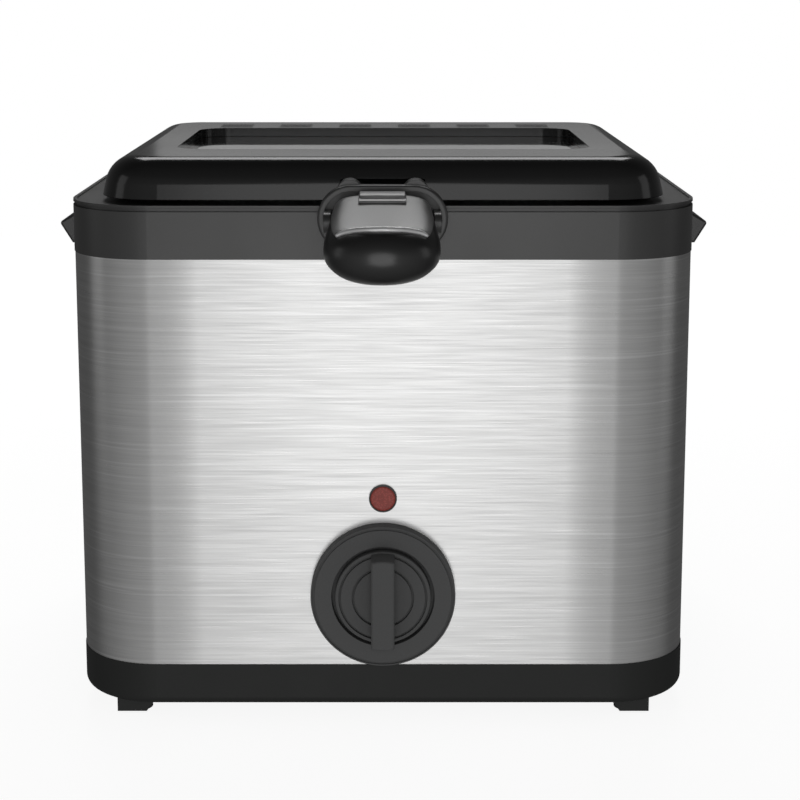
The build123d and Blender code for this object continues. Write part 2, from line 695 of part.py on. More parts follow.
# ---------------------------------------------------------------- lid
lid_plan = (202.8, 188.0, 22.0)
lid_t, lid_taper = 2.6, 12.0
lid_round, hollow_round = 11.5, 8.5
frame_w, frame_under = 3.0, 0.5  # thicker frame round the window
window = (155.4, 101.7, 12.0)
window_y = front + 97.4
window_drop = 3.6  # from the lid's top to the glass
glass_t, glass_lap = 3.0, 2.0
glass_top = lid_top - window_drop
glass_under = glass_top - glass_t
seal_t, seal_lap = 1.2, 2.0
liner_top, liner_t = lid_bottom + 5.0, 2.0
liner_y, liner_size = front + 115.0, (186.0, 138.0, 8.0)
liner_frame, liner_lap = 1.5, 3.5
liner_slot_l, liner_slot_w, liner_slot_pitch, liner_slot_count = 20.0, 3.4, 7.0, 21
liner_screw_x, liner_screw_ys = 88.0, (front + 58.0, front + 172.0)
liner_screws_at = [(x, y) for x in (-liner_screw_x, liner_screw_x) for y in liner_screw_ys]
post_r, post_bore_r, post_bore_h = 3.2, 1.35, 5.5
liner_screw_r, liner_screw_l, liner_head_r, liner_head_t = 1.3, 4.5, 2.8, 1.5
vent_w, vent_slot, vent_pitch_x, vent_pitch_y = 14.0, 2.2, 25.4, 4.4
vent_y = front + 159.8
notch_w, notch_top, notch_round = 30.0, rim_top + 9.4, 0.9  # passage for the basket's wires
knuckle_r, knuckle_low = 5.0, 3.8  # of the hinge's knuckles, and how far their webs reach down
web_top, web_low = 13.6, 11.2  # reach of each web, ahead of the hinge

with BuildPart() as lid_hollow:
    with BuildSketch(Plane.XY.offset(lid_bottom)):
        with Locations((0, well_y)):
            RectangleRounded(*grown(lid_plan, -lid_t))
    extrude(amount=lid_h - lid_t, taper=lid_taper)
    fillet(lid_hollow.faces().sort_by(Axis.Z)[-1].edges(), radius=hollow_round)

with BuildPart() as lid_shell:
    with BuildSketch(Plane.XY.offset(lid_bottom)):
        with Locations((0, well_y)):
            RectangleRounded(*lid_plan)
    extrude(amount=lid_h, taper=lid_taper)
    fillet(lid_shell.faces().sort_by(Axis.Z)[-1].edges(), radius=lid_round)
    add(lid_hollow.part, mode=Mode.SUBTRACT)
    # thicker frame around the window, and posts for the liner's screws
    with BuildSketch(Plane.XY.offset(glass_top)):
        with Locations((0, window_y)):
            RectangleRounded(*grown(window, frame_w))
    extrude(amount=window_drop - frame_under)
    with BuildSketch(Plane.XY.offset(liner_top)):
        with Locations(*liner_screws_at):
            Circle(post_r)
    extrude(amount=lid_top - lid_t + 0.5 - liner_top)
    with BuildSketch(Plane.XY.offset(liner_top)):
        with Locations(*liner_screws_at):
            Circle(post_bore_r)
    extrude(amount=post_bore_h, mode=Mode.SUBTRACT)
    with BuildSketch(Plane.XY.offset(glass_top - 1)):
        with Locations((0, window_y)):
            RectangleRounded(*window)
    extrude(amount=lid_h, mode=Mode.SUBTRACT)
    # steam vents behind the window
    with BuildSketch(Plane.XY.offset(liner_top)):
        with Locations((0, vent_y)):
            with GridLocations(vent_pitch_x, vent_pitch_y, 6, 4):
                SlotOverall(vent_w, vent_slot)
    extrude(amount=lid_h, mode=Mode.SUBTRACT)
    # notch in the front wall
    with BuildSketch(facing(well_y - lid_plan[1] / 2 + 12)):
        with Locations((0, (lid_bottom - 1 + notch_top) / 2)):
            RectangleRounded(notch_w, notch_top - lid_bottom + 1, notch_round)
    extrude(amount=20, mode=Mode.SUBTRACT)
    # hinge knuckles
    for x in (-knuckle_x, knuckle_x):
        with BuildSketch(Plane.YZ.offset(x - knuckle_w / 2)):
            with Locations((hinge_y, hinge_z)):
                Circle(knuckle_r)
            with BuildLine():
                Polyline(
                    (hinge_y, hinge_z - knuckle_low),
                    (hinge_y, hinge_z + knuckle_r),
                    (hinge_y - web_top, hinge_z + knuckle_r),
                    (hinge_y - web_low, hinge_z - knuckle_low),
                    close=True,
                )
            make_face()
            with Locations((hinge_y, hinge_z)):
                Circle(pin_r + pin_fit, mode=Mode.SUBTRACT)
        extrude(amount=knuckle_w)
pieces["lid_shell"] = lid_shell

with BuildPart() as lid_window:
    with BuildSketch(Plane.XY.offset(glass_under)):
        with Locations((0, window_y)):
            RectangleRounded(*grown(window, glass_lap))
    extrude(amount=glass_t)
pieces["lid_window"] = lid_window

with BuildPart() as window_seal:
    with BuildSketch(Plane.XY.offset(glass_under - seal_t)):
        with Locations((0, window_y)):
            RectangleRounded(*grown(window, glass_lap))
            RectangleRounded(*grown(window, -seal_lap), mode=Mode.SUBTRACT)
    extrude(amount=seal_t)
pieces["window_seal"] = window_seal

with BuildPart() as lid_liner:
    with BuildSketch(Plane.XY.offset(liner_top - liner_t)):
        with Locations((0, liner_y)):
            RectangleRounded(*liner_size)
    extrude(amount=liner_t)
    with BuildSketch(Plane.XY.offset(liner_top)):
        with Locations((0, window_y)):
            RectangleRounded(*grown(window, liner_frame))
    extrude(amount=glass_under - seal_t - liner_top)
    with BuildSketch(Plane.XY.offset(liner_top - liner_t)):
        with Locations((0, window_y)):
            RectangleRounded(*grown(window, -liner_lap))
        with Locations((0, vent_y + 6.5)):
            with GridLocations(liner_slot_pitch, 1.0, liner_slot_count, 1):
                SlotOverall(liner_slot_l, liner_slot_w, rotation=90)
        with Locations(*liner_screws_at):
            Circle(liner_screw_r + 0.3)
    extrude(amount=lid_h, mode=Mode.SUBTRACT)
pieces["lid_liner"] = lid_liner

with BuildPart() as liner_screws:
    with BuildSketch(Plane.XY.offset(liner_top - liner_t - liner_head_t)):
        with Locations(*liner_screws_at):
            Circle(liner_head_r)
    extrude(amount=liner_head_t)
    with BuildSketch(Plane.XY.offset(liner_top - liner_t)):
        with Locations(*liner_screws_at):
            Circle(liner_screw_r)
    extrude(amount=liner_t + liner_screw_l)
pieces["liner_screws"] = liner_screws

filter_w, filter_t, filter_r, filter_gap = 158.0, 4.6, 2.0, 1.0
filter_front, filter_back = window_y + window[1] / 2 + glass_lap, front + 181.0
filter_y = (filter_front + filter_back) / 2
filter_d = filter_back - filter_front - 2 * filter_gap
with BuildPart() as filter_pad:
    with BuildSketch(Plane.XY.offset(liner_top)):
        with Locations((0, filter_y)):
            RectangleRounded(filter_w, filter_d, filter_r)
    extrude(amount=filter_t)
pieces["filter_pad"] = filter_pad

# ---------------------------------------------------------------- basket
basket_y = front + 105.0
basket_top, basket_floor = 160.0, pot_floor + 4.4
basket_t, basket_round = 1.2, 6.0
basket_plan_top = (156.0, 134.0, 20.0)
basket_plan_bottom = (146.0, 124.0, 12.0)
wire_r, wire_x = 2.0, 11.4
wire_z = rim_top + 5.5
basket_slope = (basket_plan_top[1] - basket_plan_bottom[1]) / 2 / (basket_top - basket_floor)

basket_outside = tub_form(
    basket_y, basket_top, basket_plan_top, basket_floor, basket_plan_bottom, basket_round
)
basket_inside = tub_form(
    basket_y,
    basket_top,
    grown(basket_plan_top, -basket_t),
    basket_floor + basket_t,
    grown(basket_plan_bottom, -basket_t),
    basket_round - basket_t,
)
with BuildPart() as basket_mesh:
    add(basket_outside)
    add(basket_inside, mode=Mode.SUBTRACT)
pieces["basket_mesh"] = basket_mesh

frame_z = basket_top + wire_r
frame_x, frame_depth = (basket_plan_top[0] - basket_t) / 2, (basket_plan_top[1] - basket_t) / 2
with BuildPart() as basket_frame:
    with BuildLine() as frame_path:
        FilletPolyline(
            (0, basket_y - frame_depth, frame_z),
            (frame_x, basket_y - frame_depth, frame_z),
            (frame_x, basket_y + frame_depth, frame_z),
            (-frame_x, basket_y + frame_depth, frame_z),
            (-frame_x, basket_y - frame_depth, frame_z),
            (-0.01, basket_y - frame_depth, frame_z),
            radius=basket_plan_top[2],
        )
    with BuildSketch(Plane.YZ):
        with Locations((basket_y - frame_depth, frame_z)):
            Circle(wire_r)
    sweep(path=frame_path.wires()[0])
pieces["basket_frame"] = basket_frame

foot_wire_x, foot_wire_l = 46.0, 92.0
foot_wire_z = basket_floor - 0.1 - wire_r
with BuildPart() as basket_foot_wires:
    with BuildSketch(facing(basket_y + foot_wire_l / 2)):
        with Locations((-foot_wire_x, foot_wire_z), (foot_wire_x, foot_wire_z)):
            Circle(wire_r)
    extrude(amount=foot_wire_l)
pieces["basket_foot_wires"] = basket_foot_wires

upright_gap, upright_bend = 1.5, 9.0
upright_y = basket_y - basket_plan_top[1] / 2 - upright_gap - wire_r  # at the frame's level
upright_low = basket_floor + 26.0
upright_high = wire_z
guard_back, guard_t = front - 0.8, 4.7
wire_end = guard_back - 1.0
with BuildPart() as handle_wires:
    for x in (-wire_x, wire_x):
        low_y = upright_y + (frame_z - upright_low) * basket_slope
        high_y = upright_y - (upright_high - frame_z) * basket_slope
        with BuildLine() as upright_path:
            FilletPolyline(
                (x, low_y, upright_low),
                (x, high_y, upright_high),
                (x, wire_end, upright_high),
                radius=upright_bend,
            )
        with BuildSketch(facing(wire_end)):
            with Locations((x, upright_high)):
                Circle(wire_r)
        sweep(path=upright_path.wires()[0])
pieces["handle_wires"] = handle_wires

# ---------------------------------------------------------------- basket handle
guard_w, guard_h, guard_z, guard_lip = 45.3, 23.4, rim_top - 3.3, 2.1
guard_floor_t, guard_edge = 1.8, 0.9
socket_r, socket_end = 4.6, front + 4.0
pivot_y, pivot_z = front - 13.6, rim_top - 3.7
root_r = 9.4  # half of the grip's thickness, and its rounded end about the pivot
arm_x, arm_t, arm_r, pivot_r = 18.9, 2.4, 3.6, 1.6

with BuildPart() as handle_guard:
    with BuildSketch(facing(guard_back)):
        with Locations((0, guard_z)):
            SlotOverall(guard_w, guard_h)
    extrude(amount=guard_t)
    fillet(handle_guard.faces().sort_by(Axis.Y)[0].edges(), radius=guard_edge)
    with BuildSketch(facing(guard_back - guard_floor_t)):
        with Locations((0, guard_z)):
            SlotOverall(guard_w - 2 * guard_lip, guard_h - 2 * guard_lip)
    extrude(amount=guard_t, mode=Mode.SUBTRACT)
    # sockets for the wires
    with BuildSketch(facing(socket_end)):
        with Locations((-wire_x, wire_z), (wire_x, wire_z)):
            Circle(socket_r)
    extrude(amount=socket_end - guard_back + guard_floor_t)
    with BuildSketch(facing(socket_end)):
        with Locations((-wire_x, wire_z), (wire_x, wire_z)):
            Circle(wire_r + press_gap)
    extrude(amount=socket_end - wire_end + 0.1, mode=Mode.SUBTRACT)
    # an arm on each side of the grip carries the pivot pin
    for x in (-arm_x, arm_x):
        with BuildSketch(Plane.YZ.offset(x - arm_t / 2)):
            with Locations((pivot_y, pivot_z)):
                Circle(arm_r)
            with Locations(((pivot_y + guard_back - 1) / 2, pivot_z)):
                Rectangle(guard_back - 1 - pivot_y, 2 * arm_r)
            with Locations((pivot_y, pivot_z)):
                Circle(pivot_r + pin_fit, mode=Mode.SUBTRACT)
        extrude(amount=arm_t)
pieces["handle_guard"] = handle_guard

grip_w, root_w, nose_r = 38.8, 32.6, 9.2
root_edge, nose_edge, plan_r = 5.0, 8.6, 15.0  # rounding of its sections, and of its nose in plan
grip_nose = front - grip_reach
fall = 0.2  # how far the grip drops for each millimetre forward
cover_t, cover_gap, cover_back = 3.0, 0.1, pivot_y + 4.5
slider_w, slider_l, slider_rise, slider_step = 16.2, 8.5, 1.3, 0.7
slider_travel = 3.5
slider_back = pivot_y - 0.6


def grip_top(y):
    """Height of the grip's top surface at depth y."""
    return pivot_z + root_r - (pivot_y - y) * fall


def above(y_from, y_to, depth):
    """Corners, in a side view, of the space over a line that lies this deep in the grip."""
    return [
        (y_from, pivot_z + 2 * root_r),
        (y_from, grip_top(y_from) - depth),
        (y_to, grip_top(y_to) - depth),
        (y_to, pivot_z + 2 * root_r),
    ]


nose_y = grip_nose + nose_r
with BuildPart() as grip_section:
    # cross sections from root to nose, with the long edges rounded
    for y, width, half, radius in (
        (pivot_y + root_r, root_w, root_r, root_edge),
        (grip_nose, grip_w, nose_r, nose_edge),
    ):
        with BuildSketch(facing(y)):
            with Locations((0, grip_top(y) - half)):
                RectangleRounded(width, 2 * half, radius)
    loft()

with BuildPart() as grip_form:
    with BuildSketch(Plane.YZ.offset(-grip_w)):
        with BuildLine():
            nose_top = (nose_y, grip_top(nose_y))
            nose_low = (nose_y, grip_top(nose_y) - 2 * nose_r)
            Line((pivot_y, pivot_z + root_r), nose_top)
            ThreePointArc(nose_top, (grip_nose, grip_top(nose_y) - nose_r), nose_low)
            Line(nose_low, (pivot_y, pivot_z - root_r))
            ThreePointArc(
                (pivot_y, pivot_z - root_r),
                (pivot_y + root_r, pivot_z),
                (pivot_y, pivot_z + root_r),
            )
        make_face()
    extrude(amount=2 * grip_w)
    # rounded nose in plan
    with BuildSketch(Plane.XY.offset(pivot_z - 30)):
        with Locations((0, grip_nose + grip_reach)):
            RectangleRounded(grip_w, 2 * grip_reach, plan_r)
    extrude(amount=60, mode=Mode.INTERSECT)
    add(grip_section.part, mode=Mode.INTERSECT)

guide_w, guide_l, guide_gap = 6.0, 4.0, 0.4
cover_screw_r, cover_screw_l, cover_head_r, cover_head_t = 1.2, 1.8, 3.0, 2.0
guide_back = slider_back - 1.8
guide_slot = guide_l + slider_travel + 0.6
spring_r, spring_wire, spring_l = 2.2, 0.5, 5.0  # length when pressed
pocket_w, pocket_l = 9.0, guide_slot + spring_l + 0.4
pocket_floor = 12.6  # below the grip's top, at its back end
screw_y, screw_seat_z = grip_nose + 14.0, pivot_z - 1.0
with BuildPart() as grip_cover:
    add(grip_form.part)
    with BuildSketch(Plane.YZ.offset(-grip_w)):
        with BuildLine():
            Polyline(*above(cover_back, grip_nose - 5, cover_t), close=True)
        make_face()
    extrude(amount=2 * grip_w, mode=Mode.INTERSECT)
    with Locations((0, guide_back - guide_slot / 2, pivot_z + root_r)):
        Box(guide_w + guide_gap, guide_slot, 2 * root_r, mode=Mode.SUBTRACT)
    with Locations((0, screw_y, grip_top(screw_y) - cover_t)):
        Cylinder(cover_screw_r + press_gap, 2 * (cover_screw_l + 0.2), mode=Mode.SUBTRACT)
pieces["grip_cover"] = grip_cover

with BuildPart() as grip_body:
    add(grip_form.part)
    with BuildSketch(Plane.YZ.offset(-grip_w)):
        with BuildLine():
            Polyline(
                *above(cover_back + cover_gap, grip_nose - 5, cover_t + cover_gap), close=True
            )
        make_face()
    extrude(amount=2 * grip_w, mode=Mode.SUBTRACT)
    # pocket for the slider's foot and spring
    with Locations((0, guide_back + 0.3, grip_top(guide_back) - pocket_floor)):
        Box(
            pocket_w,
            pocket_l,
            2 * root_r,
            align=(Align.CENTER, Align.MAX, Align.MIN),
            mode=Mode.SUBTRACT,
        )
    with BuildSketch(Plane.YZ.offset(-grip_w)):
        with Locations((pivot_y, pivot_z)):
            Circle(pivot_r + pin_press)
    extrude(amount=2 * grip_w, mode=Mode.SUBTRACT)
    # hole and counterbore for the screw that holds the cover
    with Locations((0, screw_y, screw_seat_z)):
        Cylinder(cover_screw_r + guide_gap, 3 * root_r, mode=Mode.SUBTRACT)
        Cylinder(
            cover_head_r + hole_gap,
            3 * root_r,
            align=(Align.CENTER, Align.CENTER, Align.MAX),
            mode=Mode.SUBTRACT,
        )
pieces["grip_body"] = grip_body

with BuildPart() as grip_screw:
    with Locations((0, screw_y, screw_seat_z)):
        Cylinder(cover_head_r, cover_head_t, align=(Align.CENTER, Align.CENTER, Align.MAX))
        Cylinder(
            cover_screw_r,
            grip_top(screw_y) - cover_t + cover_screw_l - screw_seat_z,
            align=(Align.CENTER, Align.CENTER, Align.MIN),
        )
pieces["grip_screw"] = grip_screw

with BuildPart() as pivot_pin:
    with BuildSketch(Plane.YZ.offset(-arm_x - arm_t / 2)):
        with Locations((pivot_y, pivot_z)):
            Circle(pivot_r)
    extrude(amount=2 * arm_x + arm_t)
pieces["pivot_pin"] = pivot_pin

with BuildPart() as release_slider:
    # two steps that lie along the cover's slope
    for length, rise in ((slider_l, slider_step), (0.6 * slider_l, slider_rise)):
        tip = slider_back - length
        with BuildSketch(Plane.YZ.offset(-slider_w / 2)):
            with BuildLine():
                Polyline(
                    (slider_back, grip_top(slider_back) + 0.05),
                    (slider_back, grip_top(slider_back) + rise),
                    (tip, grip_top(tip) + rise),
                    (tip, grip_top(tip) + 0.05),
                    close=True,
                )
            make_face()
        extrude(amount=slider_w)
    # guide through the cover, and the foot under it
    for width, top_depth, low_depth in (
        (guide_w, 0.0, cover_t + 2.6),
        (pocket_w - 0.6, cover_t + cover_gap, cover_t + 1.2),
    ):
        guide_tip = guide_back - guide_l
        with BuildSketch(Plane.YZ.offset(-width / 2)):
            with BuildLine():
                Polyline(
                    (guide_back, grip_top(guide_back) - top_depth + 0.05),
                    (guide_back, grip_top(guide_back) - low_depth),
                    (guide_tip, grip_top(guide_tip) - low_depth),
                    (guide_tip, grip_top(guide_tip) - top_depth + 0.05),
                    close=True,
                )
            make_face()
        extrude(amount=width)
pieces["release_slider"] = release_slider

spring_back = guide_back - guide_slot
spring_z = grip_top(spring_back) - cover_t - spring_r - spring_wire - 1.0
with BuildPart() as slider_spring:
    with BuildLine():
        coil = Helix(
            pitch=spring_l / 5,
            height=spring_l - 2 * spring_wire,
            radius=spring_r,
            center=(0, spring_back, spring_z),
            direction=(0, -1, -fall),
        )
    with BuildSketch(Plane(coil @ 0, z_dir=coil % 0)):
        Circle(spring_wire / 2)
    sweep(path=coil, is_frenet=True)
pieces["slider_spring"] = slider_spring

for name, piece in pieces.items():
    piece.part.label = name

os.makedirs("parts", exist_ok=True)
for name, piece in pieces.items():
    export_step(piece.part, f"parts/{name}.step")
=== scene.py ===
"""Looks of the compact deep fryer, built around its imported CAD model."""

import json
import math

import bmesh
import bpy
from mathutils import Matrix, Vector


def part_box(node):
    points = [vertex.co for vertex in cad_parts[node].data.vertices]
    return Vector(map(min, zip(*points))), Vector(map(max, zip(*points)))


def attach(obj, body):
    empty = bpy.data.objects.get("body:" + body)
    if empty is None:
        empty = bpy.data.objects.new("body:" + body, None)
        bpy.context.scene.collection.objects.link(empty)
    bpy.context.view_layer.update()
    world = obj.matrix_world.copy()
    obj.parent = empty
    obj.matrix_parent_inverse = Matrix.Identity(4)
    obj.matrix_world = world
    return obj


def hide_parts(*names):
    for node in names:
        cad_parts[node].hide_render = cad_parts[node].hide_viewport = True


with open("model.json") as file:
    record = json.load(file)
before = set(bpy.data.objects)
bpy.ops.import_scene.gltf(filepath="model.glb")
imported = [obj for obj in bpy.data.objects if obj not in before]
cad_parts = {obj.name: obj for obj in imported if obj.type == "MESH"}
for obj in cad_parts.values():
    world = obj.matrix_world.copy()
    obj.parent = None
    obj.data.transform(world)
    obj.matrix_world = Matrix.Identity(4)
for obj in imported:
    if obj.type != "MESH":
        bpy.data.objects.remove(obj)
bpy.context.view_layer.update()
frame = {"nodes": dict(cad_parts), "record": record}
nodes = frame["nodes"]
MM = 0.001

# ---------------------------------------------------------------- places taken from the frame
rim_low, rim_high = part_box("top_rim")
pin_low, pin_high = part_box("pivot_pin")
basket_low, basket_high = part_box("basket_mesh")
front_y = rim_low.y  # the rim's front face
rim_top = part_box("oil_pot")[1].z
pivot = (pin_low + pin_high) / 2
middle_y = (rim_low.y + rim_high.y) / 2


# ---------------------------------------------------------------- material tools
NOISE_ROUGHNESS = 0.55  # how strongly the finer octaves of every noise show
BEVEL_SAMPLES = 4
SPECK_LIGHTER = 1.25  # how much lighter the specks in a moulding's grain are


class Paint:
    """A material that starts as a Principled shader, and the short calls that add nodes to it."""

    def __init__(self, name, **settings):
        self.material = bpy.data.materials.new(name)
        self.material.use_nodes = True
        self.tree = self.material.node_tree
        self.tree.nodes.clear()
        self.output = self.add("ShaderNodeOutputMaterial")
        self.shader = self.add("ShaderNodeBsdfPrincipled", **settings)
        self.link(self.shader.outputs[0], self.output.inputs["Surface"])
        self.coordinates = self.add("ShaderNodeTexCoord").outputs["Object"]

    def add(self, kind, **settings):
        """A new node. A setting named like one of its sockets sets that socket, and any other a property."""
        node = self.tree.nodes.new(kind)
        for key, value in settings.items():
            socket = key.replace("_", " ")
            if socket in node.inputs:
                node.inputs[socket].default_value = value
            else:
                setattr(node, key, value)
        return node

    def link(self, source, target):
        """Joins one node's output to another's input."""
        self.tree.links.new(source, target)

    def stretched(self, scale):
        """Object coordinates scaled by (x, y, z)."""
        mapping = self.add("ShaderNodeMapping", Scale=scale)
        self.link(self.coordinates, mapping.inputs["Vector"])
        return mapping.outputs[0]

    def noise(self, scale, detail=3.0, vector=None, distortion=0.0):
        """Cloudy noise from 0 to 1, over the object unless another vector is given."""
        node = self.add("ShaderNodeTexNoise", Scale=scale, Detail=detail, Roughness=NOISE_ROUGHNESS)
        node.inputs["Distortion"].default_value = distortion
        self.link(vector or self.coordinates, node.inputs["Vector"])
        return node.outputs["Fac"]

    def between(self, factor, low, high, start=0.3, end=0.7, easing="LINEAR"):
        """A number that runs from low to high as factor goes from start to end."""
        node = self.add("ShaderNodeMapRange", interpolation_type=easing)
        node.inputs["From Min"].default_value = start
        node.inputs["From Max"].default_value = end
        node.inputs["To Min"].default_value = low
        node.inputs["To Max"].default_value = high
        self.link(factor, node.inputs["Value"])
        return node.outputs["Result"]

    def blend(self, factor, first, second):
        """A colour between two colours, which may be sockets."""
        node = self.add("ShaderNodeMix", data_type="RGBA")
        self.link(factor, node.inputs[0])
        for value, socket in ((first, node.inputs[6]), (second, node.inputs[7])):
            if isinstance(value, bpy.types.NodeSocket):
                self.link(value, socket)
            else:
                socket.default_value = (*value, 1.0)
        return node.outputs[2]

    def colour(self, socket):
        """Links the shader's colour."""
        self.link(socket, self.shader.inputs["Base Color"])

    def roughness(self, socket):
        """Links the shader's roughness."""
        self.link(socket, self.shader.inputs["Roughness"])

    def soft_edges(self, radius):
        """Rounds the shading of hard edges, as a mould or a deburred edge does."""
        bevel = self.add("ShaderNodeBevel", samples=BEVEL_SAMPLES, Radius=radius)
        self.link(bevel.outputs[0], self.shader.inputs["Normal"])

    def bump(self, height, distance):
        """Relief on top of any relief or soft edge that is already there."""
        node = self.add("ShaderNodeBump", Distance=distance)
        self.link(height, node.inputs["Height"])
        target = self.shader.inputs["Normal"]
        if target.is_linked:
            self.link(target.links[0].from_socket, node.inputs["Normal"])
        self.link(node.outputs[0], target)


def shade(colour, factor):
    """A colour made lighter or darker."""
    return tuple(c * factor for c in colour)


def moulded(name, colour, roughness, grain=1800.0, depth=0.012, edge=0.35, specular=0.5, dust=0.06):
    """Moulded plastic: a fine tool grain, slow changes of tone and slightly uneven gloss."""
    paint = Paint(name, Specular_IOR_Level=specular)
    paint.soft_edges(edge * MM)
    tone = paint.noise(26.0, detail=4.0)
    speck = paint.noise(grain, detail=2.0)
    base = paint.blend(paint.between(tone, 0.0, 1.0), shade(colour, 1 - dust), shade(colour, 1 + dust))
    paint.colour(paint.blend(paint.between(speck, 0.0, 0.35), base, shade(colour, SPECK_LIGHTER)))
    paint.roughness(paint.between(tone, roughness * 0.92, roughness * 1.1))
    paint.bump(speck, depth * MM)
    return paint


def plain_metal(name, colour, roughness, grain=900.0, depth=0.004, edge=0.15):
    """Drawn, plated or cast metal with fine random wear."""
    paint = Paint(name, Metallic=1.0)
    paint.soft_edges(edge * MM)
    wear = paint.noise(grain, detail=5.0)
    cloud = paint.noise(60.0, detail=3.0)
    paint.colour(paint.blend(paint.between(cloud, 0.0, 1.0), shade(colour, 0.9), shade(colour, 1.06)))
    paint.roughness(paint.between(wear, roughness * 0.8, roughness * 1.3))
    paint.bump(wear, depth * MM)
    return paint


CROWN = 1.25 * MM  # how far the sheet's faces fall away towards the corners
CROWN_START_X, CROWN_END_X = 65.0 * MM, 106.0 * MM  # where the fall starts and ends, from the middle
CROWN_START_Y, CROWN_END_Y = 60.0 * MM, 101.0 * MM


def brushed_steel(name):
    """Sheet brushed along its length: long thin streaks round the body, and highlights drawn up and down."""
    paint = Paint(name, Metallic=1.0, Anisotropic=0.75, Anisotropic_Rotation=0.25)
    around = paint.add("ShaderNodeTangent", direction_type="RADIAL", axis="Z")
    paint.link(around.outputs[0], paint.shader.inputs["Tangent"])
    fine = paint.noise(1.0, detail=3.0, vector=paint.stretched((34.0, 34.0, 2600.0)))
    broad = paint.noise(1.0, detail=4.0, vector=paint.stretched((11.0, 11.0, 620.0)))
    streak = paint.noise(1.0, detail=1.0, vector=paint.stretched((17.0, 17.0, 1300.0)))
    tone = paint.blend(paint.between(broad, 0.0, 1.0), (0.70, 0.70, 0.695), (0.83, 0.83, 0.825))
    tone = paint.blend(paint.between(fine, 0.0, 0.45), tone, (0.58, 0.58, 0.58))
    tone = paint.blend(paint.between(streak, 0.0, 0.6, start=0.62, end=0.72), tone, (0.93, 0.93, 0.93))
    paint.colour(tone)
    paint.roughness(paint.between(fine, 0.27, 0.36))
    # the rolled sheet's faces are very slightly crowned towards the corners
    place = paint.add("ShaderNodeSeparateXYZ")
    paint.link(paint.coordinates, place.inputs[0])
    falls = (
        ("X", 0.0, CROWN_START_X, CROWN_END_X),
        ("Y", middle_y, CROWN_START_Y, CROWN_END_Y),
    )
    for axis, centre, start, end in falls:
        offset = paint.add("ShaderNodeMath", operation="SUBTRACT")
        paint.link(place.outputs[axis], offset.inputs[0])
        offset.inputs[1].default_value = centre
        distance = paint.add("ShaderNodeMath", operation="ABSOLUTE")
        paint.link(offset.outputs[0], distance.inputs[0])
        crown = paint.between(distance.outputs[0], 1.0, 0.0, start, end, "SMOOTHSTEP")
        paint.bump(crown, CROWN)
    paint.bump(fine, 0.0025 * MM)
    return paint


def window_glass(name):
    """Smoke-tinted glass with a faint film of handling marks."""
    paint = Paint(name, Transmission_Weight=1.0, IOR=1.5)
    smear = paint.noise(38.0, detail=5.0, distortion=0.8)
    paint.colour(paint.blend(paint.between(smear, 0.0, 1.0), (0.30, 0.32, 0.315), (0.34, 0.36, 0.355)))
    paint.roughness(paint.between(smear, 0.015, 0.06))
    return paint


def lamp_lens(name):
    """Unlit red lens: moulded prisms under a glossy skin."""
    paint = Paint(name, Coat_Weight=0.15, Coat_Roughness=0.2, Specular_IOR_Level=0.25)
    cells = paint.add("ShaderNodeTexVoronoi", Scale=1500.0)
    paint.link(paint.coordinates, cells.inputs["Vector"])
    spots = paint.between(cells.outputs["Distance"], 0.0, 1.0, start=0.1, end=0.6)
    paint.colour(paint.blend(spots, (0.62, 0.125, 0.10), (0.42, 0.085, 0.07)))
    paint.roughness(paint.between(spots, 0.3, 0.42))
    paint.bump(spots, 0.03 * MM)
    return paint


def non_stick(name):
    """Sprayed non-stick coating with fine pale specks."""
    paint = Paint(name, Specular_IOR_Level=0.5)
    paint.soft_edges(0.4 * MM)
    cells = paint.add("ShaderNodeTexVoronoi", Scale=900.0)
    paint.link(paint.coordinates, cells.inputs["Vector"])
    peel = paint.noise(700.0, detail=3.0)
    speck = paint.between(cells.outputs["Distance"], 1.0, 0.0, start=0.05, end=0.16)
    paint.colour(paint.blend(speck, (0.03, 0.03, 0.032), (0.16, 0.16, 0.16)))
    paint.roughness(paint.between(peel, 0.28, 0.42))
    paint.bump(peel, 0.02 * MM)
    return paint


def rubber(name, colour):
    """Matt moulded rubber."""
    paint = Paint(name, Specular_IOR_Level=0.35)
    paint.soft_edges(0.3 * MM)
    grain = paint.noise(1500.0, detail=4.0)
    cloud = paint.noise(90.0)
    paint.colour(paint.blend(paint.between(cloud, 0.0, 1.0), shade(colour, 0.85), shade(colour, 1.1)))
    paint.roughness(paint.between(grain, 0.62, 0.8))
    paint.bump(grain, 0.03 * MM)
    return paint


def felt(name):
    """Open filter felt: crossing fibres with grease-darkened patches."""
    paint = Paint(name, Sheen_Weight=0.4, Sheen_Roughness=0.5, Specular_IOR_Level=0.2)
    first = paint.noise(1.0, detail=4.0, vector=paint.stretched((300.0, 1700.0, 900.0)), distortion=1.5)
    second = paint.noise(1.0, detail=4.0, vector=paint.stretched((1500.0, 260.0, 900.0)), distortion=1.5)
    patch = paint.noise(45.0)
    fibres = paint.add("ShaderNodeMath", operation="MAXIMUM")
    paint.link(first, fibres.inputs[0])
    paint.link(second, fibres.inputs[1])
    base = paint.blend(paint.between(patch, 0.0, 1.0), (0.62, 0.60, 0.54), (0.74, 0.73, 0.69))
    paint.colour(paint.blend(paint.between(fibres.outputs[0], 0.0, 0.5), shade((0.7, 0.7, 0.66), 0.6), base))
    paint.roughness(paint.between(patch, 0.85, 0.95))
    paint.bump(fibres.outputs[0], 0.25 * MM)
    return paint


